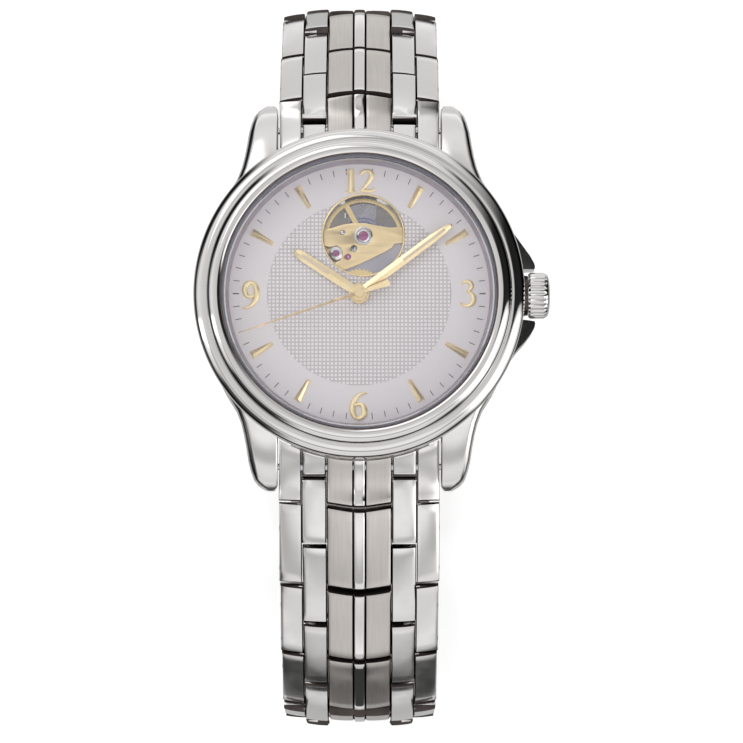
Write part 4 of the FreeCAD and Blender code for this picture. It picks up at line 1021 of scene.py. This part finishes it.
def make_links(side):
    """One half of the bracelet: wide and narrow links in turn."""
    links = chain(side)
    for index, pin, slope in links:
        scale = 1 - TAPER * (index - 1)
        wide = index % 2 == 0
        last = index == links[-1][0]
        high = PITCH + (HALF_T + 0.1 if last else REACH)
        work = bmesh.new()
        if wide:
            for key in ("centre", "brushed", "outer"):
                for x0, x1, slot in COLUMNS[key]:
                    gap = 0.0 if key == "outer" else COLUMN_GAP
                    proud = CENTRE_PROUD if key == "centre" else 0.0
                    outline = link_outline(-REACH, high)
                    link_piece(work, x0 * scale + gap, x1 * scale - gap, slot, outline, proud)
            for sign in (-1, 1):
                for s in (0, PITCH):
                    pin_head(work, sign * (OUTER_OUT * scale - 0.16), s, -0.25, sign)
        elif last and side == "12":
            for sign in (-1, 1):
                x0, x1 = sorted((sign * MIDDLE_IN * scale, sign * MIDDLE_OUT * scale))
                link_piece(work, x0, x1, 0, link_outline(-REACH, high))
            half = MIDDLE_IN * scale - 0.02
            link_piece(work, -half, half, 0, link_outline(PITCH / 2 + HALF_T, high))
        else:
            for x0, x1, slot in COLUMNS["middle"]:
                middle = (x0 + x1) / 2 * scale
                low = NOSE_TOP - bow_at(middle) if index == 1 else -REACH
                link_piece(work, x0 * scale, x1 * scale, slot, link_outline(low, high, index == 1, middle))
        place = link_place(side, pin, slope)
        bmesh.ops.transform(work, matrix=place, verts=work.verts)
        node = "link_%s_%02d" % (side, index)
        put(node + "_steel", to_mesh(work, node, doubles=False), LINK_LOOKS, node + "_body", [node], 30)


def make_end_links():
    """The solid end pieces between the lugs, with the bracelet's columns cut into their tops."""
    for side in ("12", "6"):
        pin = joint_at("link_%s_01_hinge" % side)
        pin_y, pin_z = abs(pin.y), pin.z
        work = bmesh.new()
        for key, columns in COLUMNS.items():
            for x0, x1, slot in columns:
                narrow = key == "middle"
                end = pin_y - HALF_T - 0.08 if narrow else pin_y + REACH
                outline = end_outline(pin_y, pin_z, end, narrow)
                proud = CENTRE_PROUD if key == "centre" else 0.0
                link_piece(work, x0 + COLUMN_GAP, x1 - COLUMN_GAP, slot, outline, proud)
        if side == "6":
            bmesh.ops.scale(work, vec=(1, -1, 1), verts=work.verts)
        nodes = ["end_links"] if side == "12" else []
        put("end_link_" + side, to_mesh(work, "end_link", doubles=False), LINK_LOOKS, "head", nodes, 30)


def end_outline(pin_y, pin_z, end, narrow):
    """Section of one column of an end link, from the case to its nose or pocket."""
    top = pin_z + HALF_T

    def height(y):
        course = [(15.5, 5.75), (18.6, 5.0), (20.9, 4.0), (pin_y, top), (pin_y + 2.5, top - 0.1)]
        return smooth_value(course, y)

    def outline(x):
        sag = x * x / (2 * DOME_R)
        nose = end + (0.0 if narrow else bow_at(x))
        start = math.sqrt(CASE_CLEAR_R**2 - x * x)
        points = []
        for i in range(TOP_STEPS + 1):
            y = start + (nose - start) * i / TOP_STEPS
            points.append((y, height(y) - sag, True))
        foot = pin_z - HALF_T
        if narrow:
            rest = [(nose, 1.0), (nose - 0.1, foot)]
        else:
            bulge = nose + END_BULGE
            rest = [(nose, height(nose) - sag - 0.6), (bulge, pin_z + 0.3), (bulge, pin_z - 0.15)]
            rest.append((nose - 0.6, foot))
        return points + [(y, n, False) for y, n in rest + [(start, foot)]]
    return outline


# ================================================================ movement
BRIDGE_TOP = 6.35
BRIDGE_SCREW_AT = (-2.0, 7.5)
BRIDGE_PIN_AT = (-0.65, 5.55)
# the bridge's plan, from its left foot over the balance to the right foot and back
BRIDGE_PLAN = [
    (-6.6, 7.0), (-5.3, 7.45), (-4.3, 7.75), (-3.0, 8.15), (-1.8, 8.5), (-0.6, 8.66), (0.7, 8.65),
    (2.2, 8.35), (3.6, 8.1), (6.6, 8.2), (6.9, 6.5), (5.4, 6.25), (4.3, 6.15), (3.9, 5.6),
    (3.0, 5.1), (2.2, 4.7), (1.5, 4.35), (0.0, 3.65), (-2.1, 2.8), (-3.7, 2.2), (-4.7, 2.9),
    (-3.1, 3.75), (-2.3, 4.1), (-1.95, 4.9), (-2.2, 5.6), (-2.7, 5.95), (-3.5, 5.75), (-5.0, 6.05),
    (-6.3, 5.9),
]


def make_heart():
    """The gilt bridge across the aperture, with its shock setting, jewels and screws."""
    z0, z1 = foot_of("heart_bridge"), BRIDGE_TOP
    pallet = tuple(joint_at("pallet_fork_rock").xy)
    escape = tuple(joint_at("escape_wheel_turn").xy)
    holes = [circle(0.32, BRIDGE_SCREW_AT, 24), circle(0.42, BRIDGE_PIN_AT, 24), circle(1.1, HEART_AT, 48)]
    holes.append(circle(0.38, pallet, 24))
    mesh = plate("heart_bridge", [BRIDGE_PLAN] + holes, z0, z1, 0.05)
    put("heart_bridge_gilt", mesh, "gilt", "head", ["heart_bridge"], 25)
    work = bmesh.new()
    collar = [(0.78, z1 - 0.12), (1.1, z1 - 0.12), (1.1, z1 + 0.05), (1.0, z1 + 0.1), (0.86, z1 + 0.1)]
    lathe(work, collar + [(0.78, z1 + 0.02)], 64, HEART_AT)
    lathe(work, [(0.6, z1 - 0.15), (0.78, z1 - 0.15), (0.78, z1), (0.6, z1 - 0.05)], 64, HEART_AT)
    setting = [(0.42, z1 - 0.35), (0.85, z1 - 0.35), (0.85, z1 - 0.12), (0.72, z1 - 0.05), (0.42, z1 - 0.12)]
    lathe(work, setting, 48, escape)
    screw = [(0, z0 + 0.1), (0.22, z0 + 0.1), (0.22, z1 - 0.1), (0.1, z1 - 0.05), (0, z1 - 0.05)]
    lathe(work, screw, 24, BRIDGE_SCREW_AT, closed=False)
    pin = [(0, z0), (0.2, z0), (0.2, z1 - 0.15), (0, z1 - 0.12)]
    lathe(work, pin, 24, (BRIDGE_PIN_AT[0] + 0.15, BRIDGE_PIN_AT[1] - 0.1), closed=False)
    put("shock_settings", to_mesh(work, "shock_settings"), "arbor", "head", sharp=30)
    work = bmesh.new()
    balance = [(0, z0 + 0.1), (0.62, z0 + 0.1), (0.62, z1 - 0.08), (0.35, z1 + 0.02), (0, z1 + 0.04)]
    lathe(work, balance, 48, HEART_AT, closed=False)
    fork = [(0, z0 + 0.05), (0.36, z0 + 0.05), (0.36, z1 - 0.03), (0.12, z1 - 0.06), (0, z1 - 0.12)]
    lathe(work, fork, 32, pallet, closed=False)
    wheel = [(0, z1 - 0.4), (0.42, z1 - 0.4), (0.42, z1 - 0.2), (0.14, z1 - 0.16), (0, z1 - 0.2)]
    lathe(work, wheel, 32, escape, closed=False)
    put("jewels", to_mesh(work, "jewels"), "ruby", "head", sharp=30)


# CAD pieces kept as they are, by material
CAD_LOOKS = {
    "seal": ["gaskets"],
    "back_glass": ["back_glass"],
    "plate": ["main_plate"],
    "blue": ["hairspring"],
    "nickel": ["train_bridge", "rotor"],
    "arbor": ["winding_stem", "winding_pinion", "pallet_fork", "escape_wheel", "cannon_pinion", "screws",
              "spring_bars"],
    "gilt_wheel": ["balance_wheel", "fourth_wheel", "third_wheel", "centre_wheel", "barrel", "minute_wheel",
                   "hour_wheel"],
}
# CAD pieces shown as rounded copies: material, body and edge radius in millimetres
ROUNDED = {
    "clasp_cover": ("brushed", "clasp_cover_body", 0.3),
    "middle_blade": ("brushed", "middle_blade_body", 0.12),
    "inner_blade": ("brushed", "inner_blade_body", 0.12),
}
LONG_EDGE = 1.2


def dress_cad_nodes():
    """CAD pieces whose shape is already right keep it and get their material."""
    for look, nodes in CAD_LOOKS.items():
        for node in nodes:
            mesh = frame["nodes"][node].data
            mesh.materials.clear()
            mesh.materials.append(M[look])


def make_rounded():
    """Copies of plain CAD pieces with their flat faces joined up and their long edges rounded."""
    for node, (look, body, size) in ROUNDED.items():
        work = bmesh.new()
        work.from_mesh(frame["nodes"][node].data)
        bmesh.ops.scale(work, verts=work.verts, vec=(1 / MM,) * 3)
        bmesh.ops.remove_doubles(work, verts=work.verts, dist=0.001)
        bmesh.ops.dissolve_limit(work, angle_limit=math.radians(1), verts=work.verts, edges=work.edges)
        round_edges(work, size, 3, 40, LONG_EDGE)
        put(node + "_steel", to_mesh(work, node), look, body, [node], 30)


# ================================================================ studio
FLOOR_R = 3000.0


def stage_piece(name, work):
    """A part of the room; the steel mirrors the sky instead of it."""
    mesh = to_mesh(work, name)
    mesh.materials.append(M["floor"])
    obj = bpy.data.objects.new(name, mesh)
    bpy.context.scene.collection.objects.link(obj)
    obj.visible_glossy = False
    return obj


def make_floor():
    """A white floor at the clasp's level and a white dome over it that only the camera sees."""
    base = foot_of("clasp_cover")
    work = bmesh.new()
    lathe(work, [(0, base), (FLOOR_R, base)], 96, closed=False)
    floor = stage_piece("floor", work)
    work = bmesh.new()
    slopes = [math.radians(6 * step) for step in range(16)]
    lathe(work, [(FLOOR_R * math.cos(a), base + FLOOR_R * math.sin(a)) for a in slopes], 96, closed=False)
    backdrop = stage_piece("backdrop", work)
    backdrop.visible_diffuse = False
    backdrop.visible_transmission = False
    backdrop.visible_shadow = False


def area_light(name, place, width, height, watts):
    """A rectangular light aimed at the watch, in metres."""
    light = bpy.data.lights.new(name, "AREA")
    light.shape = "RECTANGLE"
    light.size, light.size_y = width, height
    light.energy = watts
    obj = bpy.data.objects.new(name, light)
    obj.location = place
    obj.rotation_euler = (-Vector(place)).to_track_quat("-Z", "Y").to_euler()
    bpy.context.scene.collection.objects.link(obj)


def make_lights():
    area_light("top_soft", (-0.25, 0.45, 0.65), 0.5, 0.4, 0.55)
    area_light("left_strip", (-0.75, -0.1, 0.35), 0.12, 0.7, 0.25)
    area_light("right_strip", (0.65, -0.35, 0.35), 0.12, 0.6, 0.3)
    world = bpy.data.worlds.new("studio")
    world.use_nodes = True
    make_sky(world.node_tree)
    bpy.context.scene.world = world


class Sky:
    """Node arithmetic on the direction in which a ray leaves the room."""

    def __init__(self, tree):
        self.tree = tree
        coordinates = tree.nodes.new("ShaderNodeTexCoord")
        split = tree.nodes.new("ShaderNodeSeparateXYZ")
        tree.links.new(coordinates.outputs["Generated"], split.inputs["Vector"])
        self.height = split.outputs["Z"]
        self.bearing = self.math("ARCTAN2", split.outputs["Y"], split.outputs["X"])

    def math(self, operation, first, second):
        node = self.tree.nodes.new("ShaderNodeMath")
        node.operation = operation
        for socket, value in zip(node.inputs, (first, second)):
            if isinstance(value, (int, float)):
                socket.default_value = value
            else:
                self.tree.links.new(value, socket)
        return node.outputs["Value"]

    def step(self, value, start, end):
        """0 before start and 1 after end, smooth between."""
        node = self.tree.nodes.new("ShaderNodeMapRange")
        node.interpolation_type = "SMOOTHSTEP"
        node.inputs["From Min"].default_value, node.inputs["From Max"].default_value = start, end
        self.tree.links.new(value, node.inputs["Value"])
        return node.outputs["Result"]

    def window(self, value, limits):
        """1 inside limits (a, b, c, d): it rises from a to b and falls from c to d."""
        rise = self.step(value, limits[0], limits[1])
        fall = self.step(value, limits[3], limits[2])
        return self.math("MULTIPLY", rise, fall)

    def patch(self, bearings, heights):
        """A soft-edged patch of wall, its bearings in degrees from 3 o'clock towards 12."""
        return self.math("MULTIPLY", self.window(self.bearing, [math.radians(b) for b in bearings]),
                         self.window(self.height, heights))


# brightness of the room from straight down (0) over the horizon (0.5) to straight up (1)
SKY_STOPS = (
    (0.0, 0.5), (0.125, 0.6), (0.2, 0.35), (0.275, 0.05), (0.45, 0.04), (0.515, 0.12), (0.56, 0.5),
    (0.675, 0.86), (0.8, 0.95), (0.925, 0.82), (1.0, 0.74),
)
# soft-edged patches: bearings in degrees, heights as the sine of the elevation, and strength
SKY_FLAGS = (
    ((1, 3, 30, 66), (-0.6, -0.5, 0.965, 0.997), 0.98),
    ((118, 130, 155, 172), (-0.5, -0.4, 0.25, 0.5), 0.92),
    ((-160, -150, -128, -112), (-0.4, -0.3, 0.45, 0.7), 0.9),
    ((-178, -165, -15, -5), (0.62, 0.68, 0.76, 0.86), 0.4),
    ((40, 65, 115, 140), (0.7, 0.8, 0.95, 0.985), 0.3),
)
SKY_PANELS = (
    ((-46, -38, -3, 1), (-0.3, -0.2, 0.85, 0.93), 0.8),
    ((-178, -176, -168, -160), (0.0, 0.1, 0.6, 0.8), 0.35),
    ((50, 65, 115, 130), (-0.7, -0.6, 0.1, 0.35), 0.75),
    ((-130, -115, -65, -50), (-0.16, -0.1, 0.1, 0.3), 0.6),
    ((-130, -115, -65, -50), (-0.66, -0.62, -0.56, -0.52), 0.6),
    ((-140, -120, -60, -40), (0.72, 0.86, 0.98, 0.996), 0.26),
)
SKY_STRENGTH = 1.1


def make_sky(tree):
    """A pale room with a dark horizon, black flags for the steel to mirror and bright panels."""
    sky = Sky(tree)
    by_height = tree.nodes.new("ShaderNodeValToRGB")
    ramp = by_height.color_ramp
    ramp.interpolation = "EASE"
    while len(ramp.elements) < len(SKY_STOPS):
        ramp.elements.new(0.5)
    for element, (at, value) in zip(ramp.elements, SKY_STOPS):
        element.position = at
        element.color = (value, value, value, 1)
    tree.links.new(sky.math("ADD", sky.math("MULTIPLY", sky.height, 0.5), 0.5), by_height.inputs["Fac"])
    level = by_height.outputs["Color"]
    for bearings, heights, depth in SKY_FLAGS:
        cut = sky.math("MULTIPLY", sky.patch(bearings, heights), -depth)
        level = sky.math("MULTIPLY", level, sky.math("ADD", cut, 1.0))
    for bearings, heights, gain in SKY_PANELS:
        level = sky.math("ADD", level, sky.math("MULTIPLY", sky.patch(bearings, heights), gain))
    background = tree.nodes["Background"]
    tree.links.new(level, background.inputs["Color"])
    background.inputs["Strength"].default_value = SKY_STRENGTH


CAMERA_DISTANCE = 0.6
CAMERA_ELEVATION = 84
CAMERA_LENS = 241.0
AIM_OFFSET = (0.00148, -0.00943, 0)    # from the dial's centre to the middle of the picture, in metres


def make_camera():
    """Nearly square to the dial, a few degrees towards 6 o'clock."""
    elevation = math.radians(CAMERA_ELEVATION)
    dial = Vector((0, 0, DIAL_TOP * MM))
    data = bpy.data.cameras.new("camera")
    data.sensor_width = 36
    data.lens = CAMERA_LENS
    camera = bpy.data.objects.new("camera", data)
    aim = dial + Vector(AIM_OFFSET)
    camera.location = dial + CAMERA_DISTANCE * Vector((0, -math.cos(elevation), math.sin(elevation)))
    camera.location.x = aim.x
    camera.rotation_euler = (aim - camera.location).to_track_quat("-Z", "Y").to_euler()
    bpy.context.scene.collection.objects.link(camera)
    bpy.context.scene.camera = camera


make_camera()
make_lights()
make_floor()
make_bezel()
make_crystal()
make_case()
make_case_back()
make_crown()
make_crown_seat()
make_dial_ring()
make_dial_centre()
make_heart_ring()
make_minute_track()
make_markers()
make_hands()
make_links("12")
make_links("6")
make_end_links()
make_heart()
make_rounded()
dress_cad_nodes()
bpy.context.scene.view_settings.view_transform = "Standard"
